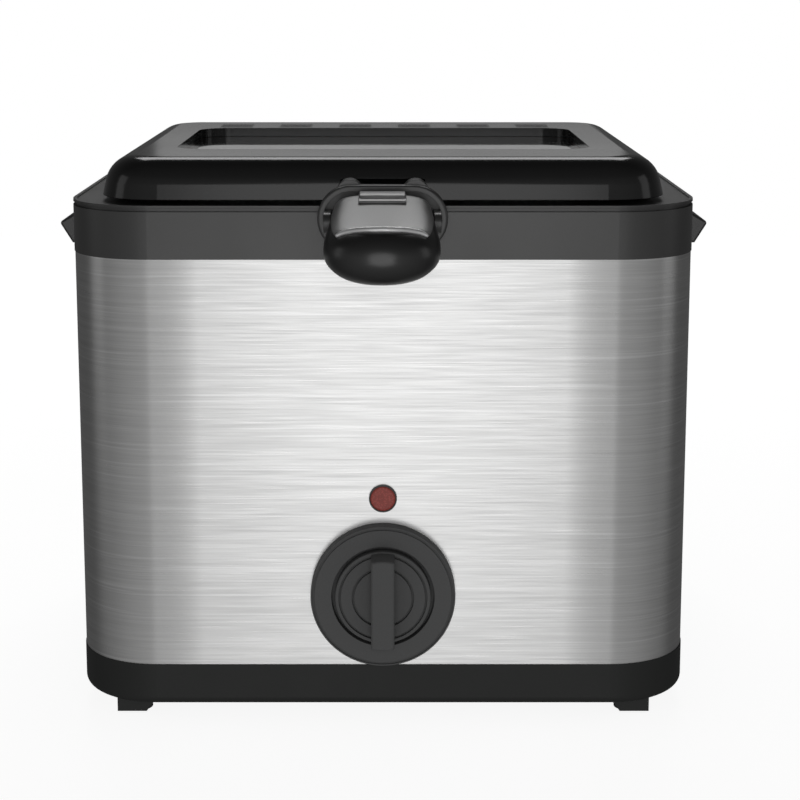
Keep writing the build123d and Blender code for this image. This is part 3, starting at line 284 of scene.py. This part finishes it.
finishes = {
    "base_plastic": moulded("moulded_base", (0.020, 0.021, 0.020), 0.5, depth=0.02, specular=0.4),
    "rim_plastic": moulded("moulded_rim", (0.034, 0.034, 0.0335), 0.36, edge=0.25, specular=0.95),
    "lid_plastic": moulded(
        "moulded_lid", (0.010, 0.010, 0.010), 0.14, grain=900.0, depth=0.002, dust=0.03
    ),
    "liner_plastic": moulded("moulded_liner", (0.02, 0.02, 0.02), 0.45),
    "grip_plastic": moulded(
        "moulded_grip", (0.010, 0.010, 0.010), 0.3, grain=1200.0, depth=0.003, specular=0.85
    ),
    "grip_cover_plastic": moulded(
        "moulded_cover", (0.15, 0.15, 0.15), 0.3, grain=1500.0, depth=0.005, specular=0.8
    ),
    "knob_plastic": moulded("moulded_knob", (0.122, 0.123, 0.123), 0.6, depth=0.02, edge=0.3, specular=0.35),
    "ceramic_white": moulded("moulded_pale", (0.62, 0.60, 0.55), 0.55, grain=1300.0, depth=0.02),
    "brushed_sleeve": brushed_steel("brushed_steel"),
    "window_glass": window_glass("smoke_glass"),
    "pilot_red": lamp_lens("red_lens"),
    "pot_coating": non_stick("non_stick_coating"),
    "cast_aluminium": plain_metal("cast_aluminium", (0.62, 0.62, 0.62), 0.42, depth=0.02),
    "element_tube": plain_metal("oxidised_tube", (0.16, 0.13, 0.11), 0.5, depth=0.02),
    "terminal_brass": plain_metal("terminal_brass", (0.62, 0.47, 0.20), 0.32),
    "sensor_copper": plain_metal("drawn_copper", (0.62, 0.31, 0.19), 0.3),
    "plated_steel": plain_metal("zinc_plate", (0.62, 0.62, 0.60), 0.34),
    "polished_wire": plain_metal("bright_wire", (0.78, 0.78, 0.77), 0.2, depth=0.003),
    "basket_wire": plain_metal("plated_wire", (0.72, 0.72, 0.71), 0.26, depth=0.004),
    "seal_rubber": rubber("silicone_seal", (0.30, 0.08, 0.05)),
    "foot_rubber": rubber("foot_rubber", (0.02, 0.02, 0.02)),
    "filter_felt": felt("filter_felt"),
}

slot_of = {row["node"]: row["material_slot"] for row in frame["record"]["subparts"]}
for name, node in nodes.items():
    node.data.materials.clear()
    node.data.materials.append(finishes[slot_of[name]].material)
blackened = plain_metal("blackened_steel", (0.05, 0.05, 0.05), 0.45)
nodes["pivot_pin"].data.materials[0] = blackened.material


# ---------------------------------------------------------------- mesh tools
def finish_piece(piece, slot, body, *replaced):
    """Gives a new piece its finish and its body, and hides the CAD nodes that it stands for."""
    piece.data.materials.clear()
    piece.data.materials.append(finishes[slot].material)
    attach(piece, body)
    if replaced:
        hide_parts(*replaced)
    return piece


def mesh_piece(name, mesh_builder, smooth=True):
    """A linked object whose mesh comes from a bmesh."""
    mesh_builder.normal_update()
    bmesh.ops.recalc_face_normals(mesh_builder, faces=mesh_builder.faces)
    mesh = bpy.data.meshes.new(name)
    mesh_builder.to_mesh(mesh)
    mesh_builder.free()
    for polygon in mesh.polygons:
        polygon.use_smooth = smooth
    piece = bpy.data.objects.new(name, mesh)
    bpy.context.scene.collection.objects.link(piece)
    return piece


def apply_modifiers(piece):
    """Replaces the piece's mesh by what its modifiers make of it."""
    bpy.context.view_layer.update()
    made = bpy.data.meshes.new_from_object(piece.evaluated_get(bpy.context.evaluated_depsgraph_get()))
    piece.modifiers.clear()
    piece.data = made
    for polygon in made.polygons:
        polygon.use_smooth = True


def add_tube(builder, points, radius, sides=8, closed=False):
    """A round tube along the points, added to a bmesh. Its radius is a number, or a list for each point."""
    count = len(points)
    rings = []
    normal = None
    for i, point in enumerate(points):
        before = points[i - 1] if i or closed else point
        after = points[(i + 1) % count] if i < count - 1 or closed else point
        along = (after - before).normalized()
        if normal is None:
            normal = along.orthogonal().normalized()
        normal = (normal - along * normal.dot(along)).normalized()
        across = along.cross(normal)
        ring = []
        size = radius[i] if isinstance(radius, list) else radius
        for k in range(sides):
            angle = 2 * math.pi * k / sides
            outward = normal * math.cos(angle) + across * math.sin(angle)
            ring.append(builder.verts.new(point + outward * size))
        rings.append(ring)
    last = count if closed else count - 1
    for i in range(last):
        ring, following = rings[i], rings[(i + 1) % count]
        for k in range(sides):
            after_k = (k + 1) % sides
            builder.faces.new((ring[k], ring[after_k], following[after_k], following[k]))
    if not closed:
        builder.faces.new(rings[0])
        builder.faces.new(reversed(rings[-1]))


def join_grid(builder, grid):
    """Faces between the rows of a grid of points."""
    for line, following in zip(grid, grid[1:]):
        for c in range(len(line) - 1):
            builder.faces.new((line[c], line[c + 1], following[c + 1], following[c]))


# ---------------------------------------------------------------- rounded outlines


def outline_point(half_x, half_y, radius, distance):
    """A point on a rounded rectangle and its outward direction, at a distance along from its front."""
    straight_x, straight_y = half_x - radius, half_y - radius
    arc = radius * math.pi / 2
    legs = [straight_x, arc, 2 * straight_y, arc, 2 * straight_x, arc, 2 * straight_y, arc, straight_x]
    corners = [(1, -1, -90), (1, 1, 0), (-1, 1, 90), (-1, -1, 180)]
    distance %= sum(legs)
    index = 0
    while distance > legs[index] and index < len(legs) - 1:
        distance -= legs[index]
        index += 1
    if index % 2:
        sx, sy, start = corners[index // 2]
        angle = math.radians(start) + distance / radius
        out = Vector((math.cos(angle), math.sin(angle)))
        return Vector((sx * straight_x, sy * straight_y)) + out * radius, out
    side = (index // 2) % 4
    starts = (
        (Vector((0, -half_y)), Vector((1, 0))),
        (Vector((half_x, -straight_y)), Vector((0, 1))),
        (Vector((straight_x, half_y)), Vector((-1, 0))),
        (Vector((-half_x, straight_y)), Vector((0, -1))),
    )
    start, run = starts[side]
    if index == 8:
        start = Vector((-straight_x, -half_y))
    return start + run * distance, Vector((run.y, -run.x))


def outline_length(half_x, half_y, radius):
    """The length of a rounded rectangle."""
    return 4 * (half_x + half_y - 2 * radius) + 2 * math.pi * radius


# ---------------------------------------------------------------- woven basket
WIRE = 0.45 * MM  # radius of the woven wire
PITCH = 5.0 * MM
WIRE_SIDES = 6
WALL_TAPER = 5.0 * MM  # how far the wall draws in on each side by its foot
WALL_BEND = 5.5 * MM  # radius of the bend between wall and bottom
WALL_CORNER = 19.0 * MM  # corner radius at the top, in plan
CORNER_TAPER = 8.0 * MM  # how much tighter the corners are at the foot
LEAST_CORNER = 2.0 * MM
WALL_INSET, BOTTOM_RISE = WIRE * 1.2, WIRE * 1.6  # these keep the weave inside the CAD basket's box
TRIM_WIDTH, TRIM_SLOPE = 8.0 * MM, 0.6  # the bottom's outer wires stop short at its corners


def woven_basket():
    """Wires woven over and under each other on the basket's walls and bottom."""
    centre = (basket_low + basket_high) / 2
    top_x = (basket_high.x - basket_low.x) / 2 - WALL_INSET
    top_y = (basket_high.y - basket_low.y) / 2 - WALL_INSET
    top_z, low_z = basket_high.z, basket_low.z + BOTTOM_RISE

    def section(depth):
        """Half sizes and corner radius of the tapering wall at a depth below the top."""
        share = min(depth / (top_z - low_z), 1.0)
        half_x, half_y = top_x - WALL_TAPER * share, top_y - WALL_TAPER * share
        radius = WALL_CORNER - CORNER_TAPER * share
        return half_x, half_y, radius

    def wall_point(share, z_drop):
        """A point on the wall and its outward direction: a share of the way round, and a drop down it."""
        straight = top_z - low_z - WALL_BEND
        if z_drop <= straight:
            depth, pull = z_drop, 0.0
        else:
            turn = min((z_drop - straight) / WALL_BEND, math.pi / 2)
            depth, pull = straight + WALL_BEND * math.sin(turn), WALL_BEND * (1 - math.cos(turn))
        half_x, half_y, radius = section(depth)
        half_x, half_y, radius = half_x - pull, half_y - pull, max(radius - pull, LEAST_CORNER)
        length = outline_length(half_x, half_y, radius)
        flat, out = outline_point(half_x, half_y, radius, share * length)
        turn = math.asin(min((depth - straight) / WALL_BEND, 1.0)) if pull else 0.0
        outward = Vector((out.x * math.cos(turn), out.y * math.cos(turn), -math.sin(turn)))
        return Vector((centre.x + flat.x, centre.y + flat.y, top_z - depth)), outward

    builder = bmesh.new()
    around = int(outline_length(*section(0)) / PITCH / 2) * 2
    drop_total = top_z - low_z - WALL_BEND + WALL_BEND * math.pi / 2
    hoops = int(drop_total / PITCH)
    for h in range(1, hoops + 1):
        points = []
        for k in range(around * 2):
            place, outward = wall_point(k / (around * 2), h * PITCH)
            side = 1 if (k // 2 + h) % 2 else -1
            points.append(place + outward * (WIRE * side if k % 2 else 0.0))
        add_tube(builder, points, WIRE, sides=WIRE_SIDES, closed=True)
    for k in range(around):
        points = []
        for step in range(hoops * 2 + 2):
            place, outward = wall_point((2 * k + 1) / (around * 2), step * PITCH / 2)
            crossing = step % 2 == 0 and step > 0
            side = -1 if (k + step // 2) % 2 else 1
            points.append(place + outward * (WIRE * side if crossing else 0.0))
        add_tube(builder, points, WIRE, sides=WIRE_SIDES)
    # the bottom's own grid
    foot_x, foot_y, _ = section(top_z - low_z)
    edge_x, edge_y = foot_x - WALL_BEND, foot_y - WALL_BEND
    for along_x in (True, False):
        half_run, half_across = (edge_x, edge_y) if along_x else (edge_y, edge_x)
        lines = int(2 * half_across / PITCH)
        cells = int(2 * half_run / PITCH) + 1
        for i in range(lines + 1):
            across = (i - lines / 2) * PITCH
            shorten = max(0.0, abs(across) - (half_across - TRIM_WIDTH)) * TRIM_SLOPE
            points = []
            for c in range(cells * 2 + 1):
                run = -half_run + shorten + (half_run - shorten) * 2 * c / (cells * 2)
                side = (1 if (c // 2 + i) % 2 else -1) * (1 if along_x else -1)
                lift = WIRE * side if c % 2 else 0.0
                flat = (run, across) if along_x else (across, run)
                points.append(Vector((centre.x + flat[0], centre.y + flat[1], low_z + lift)))
            add_tube(builder, points, WIRE, sides=WIRE_SIDES)
    piece = mesh_piece("basket_weave", builder)
    return finish_piece(piece, "basket_wire", "basket", "basket_mesh")


# ---------------------------------------------------------------- grip
ROOT_R, NOSE_R = 9.4 * MM, 9.2 * MM
FALL = 0.2  # how fast the grip's top falls away from the pivot
ROOT_HALF, NOSE_HALF = 16.2 * MM, 19.35 * MM  # half widths
WIDENING = 1.3  # the full width is reached this much sooner than the nose
PLAN_R = 17.0 * MM  # roundness of the nose seen from above
ROOT_SQUARE, NOSE_SQUARE = 4.2, 2.15  # how square the section is: 2 is an ellipse
SKIN_SIDES = 72
ROOT_ANGLES = (2, 8, 16, 26, 38, 52, 66, 80)  # degrees round the root's end at which a ring lies
NOSE_ANGLES = (6, 14, 22, 31, 40, 49, 58, 66, 73, 79, 84, 87.5)  # and round the nose
GRIP_STEPS = 22  # rings between the two
grip_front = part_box("grip_body")[0].y
REACH = pivot.y - grip_front
NOSE_START = REACH - NOSE_R


def eased(share, start, end):
    """Eases from start to end as share goes from 0 to 1."""
    share = min(max(share, 0.0), 1.0)
    return start + (end - start) * share * share * (3 - 2 * share)


def grip_point(ahead, angle, proud=0.0):
    """A point on the grip's skin: how far ahead of the pivot, and the angle round its section."""
    top = ROOT_R - FALL * max(ahead, 0.0)
    nose_low = ROOT_R - FALL * NOSE_START - 2 * NOSE_R
    bottom = -ROOT_R + (nose_low + ROOT_R) * max(ahead, 0.0) / NOSE_START
    middle, half = (top + bottom) / 2, (top - bottom) / 2
    share = (ahead + ROOT_R) / (REACH + ROOT_R)
    width = eased(share * WIDENING, ROOT_HALF, NOSE_HALF)
    if ahead < 0:
        half *= math.sqrt(max(1 - (ahead / ROOT_R) ** 2, 0.0))
    if ahead > NOSE_START:
        tip = (ahead - NOSE_START) / NOSE_R
        half *= math.sqrt(max(1 - tip * tip, 0.0))
        middle = (ROOT_R - FALL * NOSE_START) - NOSE_R
    plan_start = REACH - PLAN_R
    if ahead > plan_start:
        tip = (ahead - plan_start) / PLAN_R
        width -= PLAN_R * (1 - math.sqrt(max(1 - tip * tip, 0.0)))
    power = 2 / eased(share, ROOT_SQUARE, NOSE_SQUARE)
    cosine, sine = math.cos(angle), math.sin(angle)
    x = math.copysign(abs(cosine) ** power, cosine) * (width + proud)
    z = math.copysign(abs(sine) ** power, sine) * (half + proud)
    return Vector((pivot.x + x, pivot.y - ahead, pivot.z + middle + z))


def grip_stations():
    """Places along the grip, closer together where it rounds off."""
    places = [-ROOT_R * math.cos(math.radians(angle)) for angle in ROOT_ANGLES]
    places += [NOSE_START * i / GRIP_STEPS for i in range(GRIP_STEPS + 1)]
    places += [NOSE_START + NOSE_R * math.sin(math.radians(angle)) for angle in NOSE_ANGLES]
    return places


def cut(piece, cutter):
    """Cuts one mesh piece out of another, and removes the cutter."""
    modifier = piece.modifiers.new("cut", "BOOLEAN")
    modifier.operation = "DIFFERENCE"
    modifier.solver = "EXACT"
    modifier.object = cutter
    apply_modifiers(piece)
    bpy.data.objects.remove(cutter)


RECESS_CLEARANCE, RECESS_DEPTH = 0.2 * MM, 2.0 * MM  # room round the screw's head, and the head's depth
CUTTER_REACH = 20.0 * MM  # how far below the screw the cutter starts


def screw_recess():
    """A cutter for the counterbore that the cover's screw sits in."""
    low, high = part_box("grip_screw")
    centre = (low + high) / 2
    ends = [Vector((centre.x, centre.y, z)) for z in (low.z - CUTTER_REACH, low.z + RECESS_DEPTH)]
    builder = bmesh.new()
    add_tube(builder, ends, high.x - centre.x + RECESS_CLEARANCE, sides=40)
    return mesh_piece("recess_cutter", builder)


def build_grip():
    """The grip's body: one rounded form with a bulbous nose."""
    builder = bmesh.new()
    angles = [2 * math.pi * k / SKIN_SIDES for k in range(SKIN_SIDES)]
    rings = []
    for ahead in grip_stations():
        rings.append([builder.verts.new(grip_point(ahead, angle)) for angle in angles])
    for ring, following in zip(rings, rings[1:]):
        for k in range(SKIN_SIDES):
            after = (k + 1) % SKIN_SIDES
            builder.faces.new((ring[k], ring[after], following[after], following[k]))
    for ring in (rings[0], rings[-1]):
        centre = sum((v.co for v in ring), Vector()) / SKIN_SIDES
        hub = builder.verts.new(centre)
        for k in range(SKIN_SIDES):
            builder.faces.new((ring[k], ring[(k + 1) % SKIN_SIDES], hub))
    return mesh_piece("grip_moulding", builder)


COVER_BACK, COVER_FRONT = -4.0 * MM, NOSE_START + 1.5 * MM
COVER_COLUMNS, COVER_ROWS = 72, 64
BACK_WRAP, FRONT_WRAP = 16.0, 38.0  # degrees up from the grip's side to the cover's edge
DRAWN_BACK = 3.4 * MM  # how far the front edge is drawn back at the two shoulders
COVER_SKIN, COVER_THICKNESS, COVER_EDGE = 0.25 * MM, 1.1 * MM, 0.4 * MM  # skin is proud of the grip
LIP_RISE, LIP_SETBACK, LIP_WIDTH = 0.35 * MM, 0.6 * MM, 1.1 * MM  # the raised lip along the front
ROWS_CROWD = 1.6  # rows crowd towards the front, where the lip is


def cover_angle(share_along, share_across):
    """The angle round the grip at a place on the cover, which wraps less far round towards its front."""
    low_angle = math.radians(eased(share_along, BACK_WRAP, FRONT_WRAP))
    return low_angle + (math.pi - 2 * low_angle) * share_across


def cover_limit(share_across):
    """How far ahead the cover reaches: its front edge is drawn back over the shoulders."""
    return COVER_FRONT - eased(abs(2 * share_across - 1) * 1.2 - 0.1, 0.0, DRAWN_BACK)


def build_cover():
    """The cover: a shell over the grip's top and rear that ends in a raised lip at the front."""
    builder = bmesh.new()
    grid = []
    for r in range(COVER_ROWS + 1):
        share = 1 - (1 - r / COVER_ROWS) ** ROWS_CROWD
        line = []
        for c in range(COVER_COLUMNS + 1):
            across = c / COVER_COLUMNS
            limit = cover_limit(across)
            ahead = COVER_BACK + (limit - COVER_BACK) * share
            lip = math.exp(-(((limit - LIP_SETBACK - ahead) / LIP_WIDTH) ** 2))
            skin = grip_point(ahead, cover_angle(share, across), proud=COVER_SKIN + LIP_RISE * lip)
            line.append(builder.verts.new(skin))
        grid.append(line)
    join_grid(builder, grid)
    piece = mesh_piece("grip_cover_moulding", builder)
    thicken = piece.modifiers.new("thickness", "SOLIDIFY")
    thicken.thickness = COVER_THICKNESS
    thicken.offset = -1.0
    round_edges = piece.modifiers.new("edges", "BEVEL")
    round_edges.width = COVER_EDGE
    round_edges.segments = 3
    round_edges.limit_method = "ANGLE"
    round_edges.angle_limit = math.radians(50)
    apply_modifiers(piece)
    return piece


BROW_STEPS = 96
BROW_AHEAD, BROW_PROUD = 0.75 * MM, 0.35 * MM  # how far past the cover's edge and above the grip
BROW_END, BROW_SWELL = 0.3 * MM, 0.75 * MM  # the bead's radius at its ends, and what its middle adds


def build_brow():
    """A bright bead along the cover's front edge that thins out at its two ends."""
    points, sizes = [], []
    for c in range(BROW_STEPS + 1):
        across = c / BROW_STEPS
        ahead = cover_limit(across) + BROW_AHEAD
        points.append(grip_point(ahead, cover_angle(1.0, across), proud=BROW_PROUD))
        sizes.append(BROW_END + BROW_SWELL * math.sqrt(max(1 - abs(2 * across - 1) ** 6, 0.0)))
    builder = bmesh.new()
    add_tube(builder, points, sizes, sides=20)
    return mesh_piece("grip_brow", builder)


LOW_STEP, HIGH_STEP = 1.1 * MM, 1.9 * MM  # heights of the slider's two steps above the grip
HIGH_STEP_SHARE = 0.6  # how much of the slider's length the high step takes
STEP_INSET, STEP_SETBACK = 0.3 * MM, 0.02 * MM  # the high step is a little narrower and starts later
SLIDER_UNDER, SLIDER_EDGE = 0.2 * MM, 0.35 * MM  # its underside above the grip, and its edges' rounding


def build_slider():
    """The thumb slider: two low steps with rounded edges on top of the cover."""
    low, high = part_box("release_slider")
    back, front = high.y, low.y
    steps = ((front, LOW_STEP), (back + (front - back) * HIGH_STEP_SHARE, HIGH_STEP))
    builder = bmesh.new()
    for index, (tip, rise) in enumerate(steps):
        half = high.x - STEP_INSET * index
        corners = []
        for y in (back - STEP_SETBACK * index, tip):
            ahead = pivot.y - y
            top = pivot.z + ROOT_R - FALL * max(ahead, 0.0)
            for z in (top + SLIDER_UNDER, top + rise):
                corners.append((y, z))
        loop = [corners[0], corners[1], corners[3], corners[2]]
        left = [builder.verts.new((-half, y, z)) for y, z in loop]
        right = [builder.verts.new((half, y, z)) for y, z in loop]
        builder.faces.new(left)
        builder.faces.new(reversed(right))
        for k in range(4):
            builder.faces.new((left[k], right[k], right[(k + 1) % 4], left[(k + 1) % 4]))
    piece = mesh_piece("thumb_slider", builder)
    round_edges = piece.modifiers.new("edges", "BEVEL")
    round_edges.width = SLIDER_EDGE
    round_edges.segments = 4
    apply_modifiers(piece)
    return piece


def make_handle():
    """The grip with its cover, bead and slider, each in place of its CAD node where it has one."""
    grip = build_grip()
    cut(grip, screw_recess())
    finish_piece(grip, "grip_plastic", "handle", "grip_body")
    finish_piece(build_cover(), "grip_cover_plastic", "handle", "grip_cover")
    brow = finish_piece(build_brow(), "plated_steel", "handle")
    brow.data.materials[0] = plain_metal("satin_bead", (0.9, 0.9, 0.9), 0.5).material
    finish_piece(build_slider(), "grip_cover_plastic", "slider", "release_slider")


# ---------------------------------------------------------------- sleeve
SHEET, SEAM_HALF, SEAM_RISE = 0.6 * MM, 5.5 * MM, 0.15 * MM
SLEEVE_R = 29.75 * MM  # corners of the sleeve, in plan
SHEET_STEP, SHEET_LEVELS = 0.9 * MM, 6  # how finely the sheet is divided, round it and up it
SHAFT_HOLE_R, LAMP_HOLE_R = 6.0 * MM, 4.3 * MM
HOLE_CUT = 4.0 * MM  # how far the cutters reach on each side of the rim's front
SHARP_ANGLE = 30.0  # degrees at which an edge is shaded as a hard one


def sleeve_hole(node, radius):
    """A cutter through the sleeve's front, in line with a node of the control panel."""
    low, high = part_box(node)
    centre = (low + high) / 2
    ends = [Vector((centre.x, front_y + y, centre.z)) for y in (-HOLE_CUT, HOLE_CUT)]
    builder = bmesh.new()
    add_tube(builder, ends, radius, sides=48)
    return mesh_piece("hole_cutter", builder)


def steel_wrap():
    """The brushed sleeve as a finely divided sheet: its lapped rear seam, and its two front holes."""
    low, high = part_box("steel_sleeve")
    half_x, half_y = (high.x - low.x) / 2, (high.y - SEAM_RISE - low.y) / 2
    length = outline_length(half_x, half_y, SLEEVE_R)
    columns = int(length / SHEET_STEP)
    levels = [low.z + (high.z - low.z) * k / SHEET_LEVELS for k in range(SHEET_LEVELS + 1)]
    builder = bmesh.new()
    sheets = []
    for depth in (0.0, SHEET):
        grid = []
        for z in levels:
            ring = []
            for k in range(columns):
                place, out = outline_point(half_x, half_y, SLEEVE_R, k * length / columns)
                at_seam = out.y > 0.99 and abs(place.x) < SEAM_HALF
                lift = SEAM_RISE if at_seam and not depth else 0.0
                flat = place + out * (lift - depth)
                ring.append(builder.verts.new((flat.x, flat.y + low.y + half_y, z)))
            grid.append(ring)
        sheets.append(grid)
    outer, inner = sheets
    for k in range(columns):
        after = (k + 1) % columns
        for grid in sheets:
            for ring, above in zip(grid, grid[1:]):
                builder.faces.new((ring[k], ring[after], above[after], above[k]))
        for row in (0, -1):
            builder.faces.new((outer[row][k], outer[row][after], inner[row][after], inner[row][k]))
    piece = mesh_piece("steel_wrap", builder)
    cut(piece, sleeve_hole("thermostat_shaft", SHAFT_HOLE_R))
    cut(piece, sleeve_hole("pilot_lens", LAMP_HOLE_R))
    piece.data.set_sharp_from_angle(angle=math.radians(SHARP_ANGLE))
    return finish_piece(piece, "brushed_sleeve", "housing", "steel_sleeve")


# ---------------------------------------------------------------- filter
MAT_COLUMNS, MAT_ROWS = 90, 18
MAT_EDGE = 1.5 * MM  # how far in from its edge the mat reaches most of its height
MAT_SEAM = 1.6 * MM  # height of the pressed edge above the mat's underside
MAT_ROOM, MAT_BELOW = 0.4 * MM, 1.3 * MM  # room left above the crown, and how deep the underside sags
MAT_LUMP = 0.25 * MM


def filter_mat():
    """Felt mat with a crowned, slightly lumpy top and pressed edges."""
    low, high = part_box("filter_pad")
    size_x, size_y = high.x - low.x, high.y - low.y
    seam = low.z + MAT_SEAM
    builder = bmesh.new()
    for top in (True, False):
        grid = []
        for r in range(MAT_ROWS + 1):
            line = []
            for c in range(MAT_COLUMNS + 1):
                u, v = c / MAT_COLUMNS, r / MAT_ROWS
                edge = min(u * size_x, (1 - u) * size_x, v * size_y, (1 - v) * size_y)
                puff = 1 - math.exp(-edge / MAT_EDGE)
                lump = MAT_LUMP * math.sin(37 * u + 5 * v) * math.sin(11 * v + 23 * u)
                rise = high.z - seam - MAT_ROOM + lump if top else -MAT_BELOW
                place = (low.x + size_x * u, low.y + size_y * v, seam + rise * puff)
                line.append(builder.verts.new(place))
            grid.append(line)
        join_grid(builder, grid)
    bmesh.ops.remove_doubles(builder, verts=builder.verts, dist=0.01 * MM)
    piece = finish_piece(mesh_piece("filter_mat", builder), "filter_felt", "lid", "filter_pad")


# ---------------------------------------------------------------- stage, lights and camera
MIDDLE = (0.0, 0.0, 0.12)  # near the middle of the fryer
PANELS = (
    # name, place, what it faces, width, height, radiance
    ("front_panel", (0.0, -1.45, 0.12), MIDDLE, 0.46, 1.36, 0.93),
    ("front_fill", (0.0, -1.5, 0.12), MIDDLE, 0.66, 1.36, 0.22),
    ("back_panel", (0.0, 1.15, 1.25), MIDDLE, 1.1, 0.55, 2.6),
    ("left_panel", (-1.5, -0.1, 0.5), MIDDLE, 0.5, 0.9, 0.42),
    ("right_panel", (1.5, -0.1, 0.5), MIDDLE, 0.5, 0.9, 0.42),
    ("rear_panel", (0.0, 1.6, 0.625), (0.0, 0.0, 0.35), 0.6, 0.6, 0.35),
)
WHITE = (1.0, 1.0, 1.0, 1.0)


def panel(name, place, aim, width, height, radiance):
    """A soft light panel of a given radiance."""
    data = bpy.data.lights.new(name, "AREA")
    data.shape = "RECTANGLE"
    data.size, data.size_y = width, height
    data.energy = radiance * math.pi * width * height
    lamp = bpy.data.objects.new(name, data)
    bpy.context.scene.collection.objects.link(lamp)
    lamp.location = place
    lamp.rotation_euler = (Vector(aim) - Vector(place)).to_track_quat("-Z", "Y").to_euler()
    lamp.visible_camera = False


def ramp(tree, source, from_min, from_max, to_min, to_max):
    """A world node's number mapped from one range to another."""
    node = tree.nodes.new("ShaderNodeMapRange")
    for name, value in (
        ("From Min", from_min),
        ("From Max", from_max),
        ("To Min", to_min),
        ("To Max", to_max),
    ):
        node.inputs[name].default_value = value
    tree.links.new(source, node.inputs["Value"])
    return node.outputs["Result"]


def studio():
    """A white backdrop that the camera sees, a dim room for the rest, and soft panels."""
    world = bpy.data.worlds.new("studio")
    bpy.context.scene.world = world
    world.use_nodes = True
    tree = world.node_tree
    tree.nodes.clear()
    output = tree.nodes.new("ShaderNodeOutputWorld")
    seen = tree.nodes.new("ShaderNodeBackground")
    seen.inputs["Color"].default_value = WHITE
    room = tree.nodes.new("ShaderNodeBackground")
    room.inputs["Color"].default_value = WHITE
    direction = tree.nodes.new("ShaderNodeTexCoord")
    split = tree.nodes.new("ShaderNodeSeparateXYZ")
    tree.links.new(direction.outputs["Generated"], split.inputs[0])
    # the room is brightest in front of the fryer, and dimmer behind it and above it
    strength = tree.nodes.new("ShaderNodeMath")
    strength.operation = "MULTIPLY"
    tree.links.new(ramp(tree, split.outputs["Y"], 0.25, -1.0, 0.08, 0.36), strength.inputs[0])
    tree.links.new(ramp(tree, split.outputs["Z"], 0.15, 0.75, 1.0, 0.45), strength.inputs[1])
    tree.links.new(strength.outputs[0], room.inputs["Strength"])
    choice = tree.nodes.new("ShaderNodeMixShader")
    ray = tree.nodes.new("ShaderNodeLightPath")
    tree.links.new(ray.outputs["Is Camera Ray"], choice.inputs["Fac"])
    tree.links.new(room.outputs[0], choice.inputs[1])
    tree.links.new(seen.outputs[0], choice.inputs[2])
    tree.links.new(choice.outputs[0], output.inputs["Surface"])
    for row in PANELS:
        panel(*row)


FLOOR_RADIUS, FLOOR_GAP = 1.3, 0.2 * MM  # the floor lies just below the feet


def floor():
    """A plain pale floor that only the camera sees, so that the panels light the fryer from all round."""
    paint = Paint("floor", Base_Color=(0.35, 0.35, 0.35, 1.0), Roughness=1.0, Specular_IOR_Level=0.0)
    cloud = paint.noise(3.0)
    paint.link(paint.between(cloud, 0.895, 0.905), paint.shader.inputs["Emission Strength"])
    paint.shader.inputs["Emission Color"].default_value = WHITE
    builder = bmesh.new()
    bmesh.ops.create_circle(builder, cap_ends=True, segments=96, radius=FLOOR_RADIUS)
    bmesh.ops.translate(builder, verts=builder.verts, vec=(0.0, 0.0, -FLOOR_GAP))
    ground = mesh_piece("floor", builder, smooth=False)
    ground.data.materials.append(paint.material)
    for ray in ("diffuse", "glossy", "transmission", "shadow"):
        setattr(ground, "visible_" + ray, False)


SENSOR_WIDTH, LENS = 36.0, 83.1663  # both in Blender's camera millimetres
SHIFT_X, SHIFT_Y = 0.0094, -0.125
EYE_RIGHT, EYE_AHEAD, EYE_UP = 3.42 * MM, 640.0 * MM, 76.94 * MM  # from the rim's front, at its top
EYE_TILT = 9.71  # degrees down


def camera():
    """A camera in front of the fryer and a little above it."""
    data = bpy.data.cameras.new("camera")
    data.sensor_width = SENSOR_WIDTH
    data.lens = LENS
    data.shift_x = SHIFT_X
    data.shift_y = SHIFT_Y
    eye = bpy.data.objects.new("camera", data)
    bpy.context.scene.collection.objects.link(eye)
    eye.location = (EYE_RIGHT, front_y - EYE_AHEAD, rim_top + EYE_UP)
    eye.rotation_euler = (math.radians(90.0 - EYE_TILT), 0.0, 0.0)
    bpy.context.scene.camera = eye


camera()
studio()
floor()
woven_basket()
make_handle()
steel_wrap()
filter_mat()
bpy.context.scene.view_settings.view_transform = "Standard"
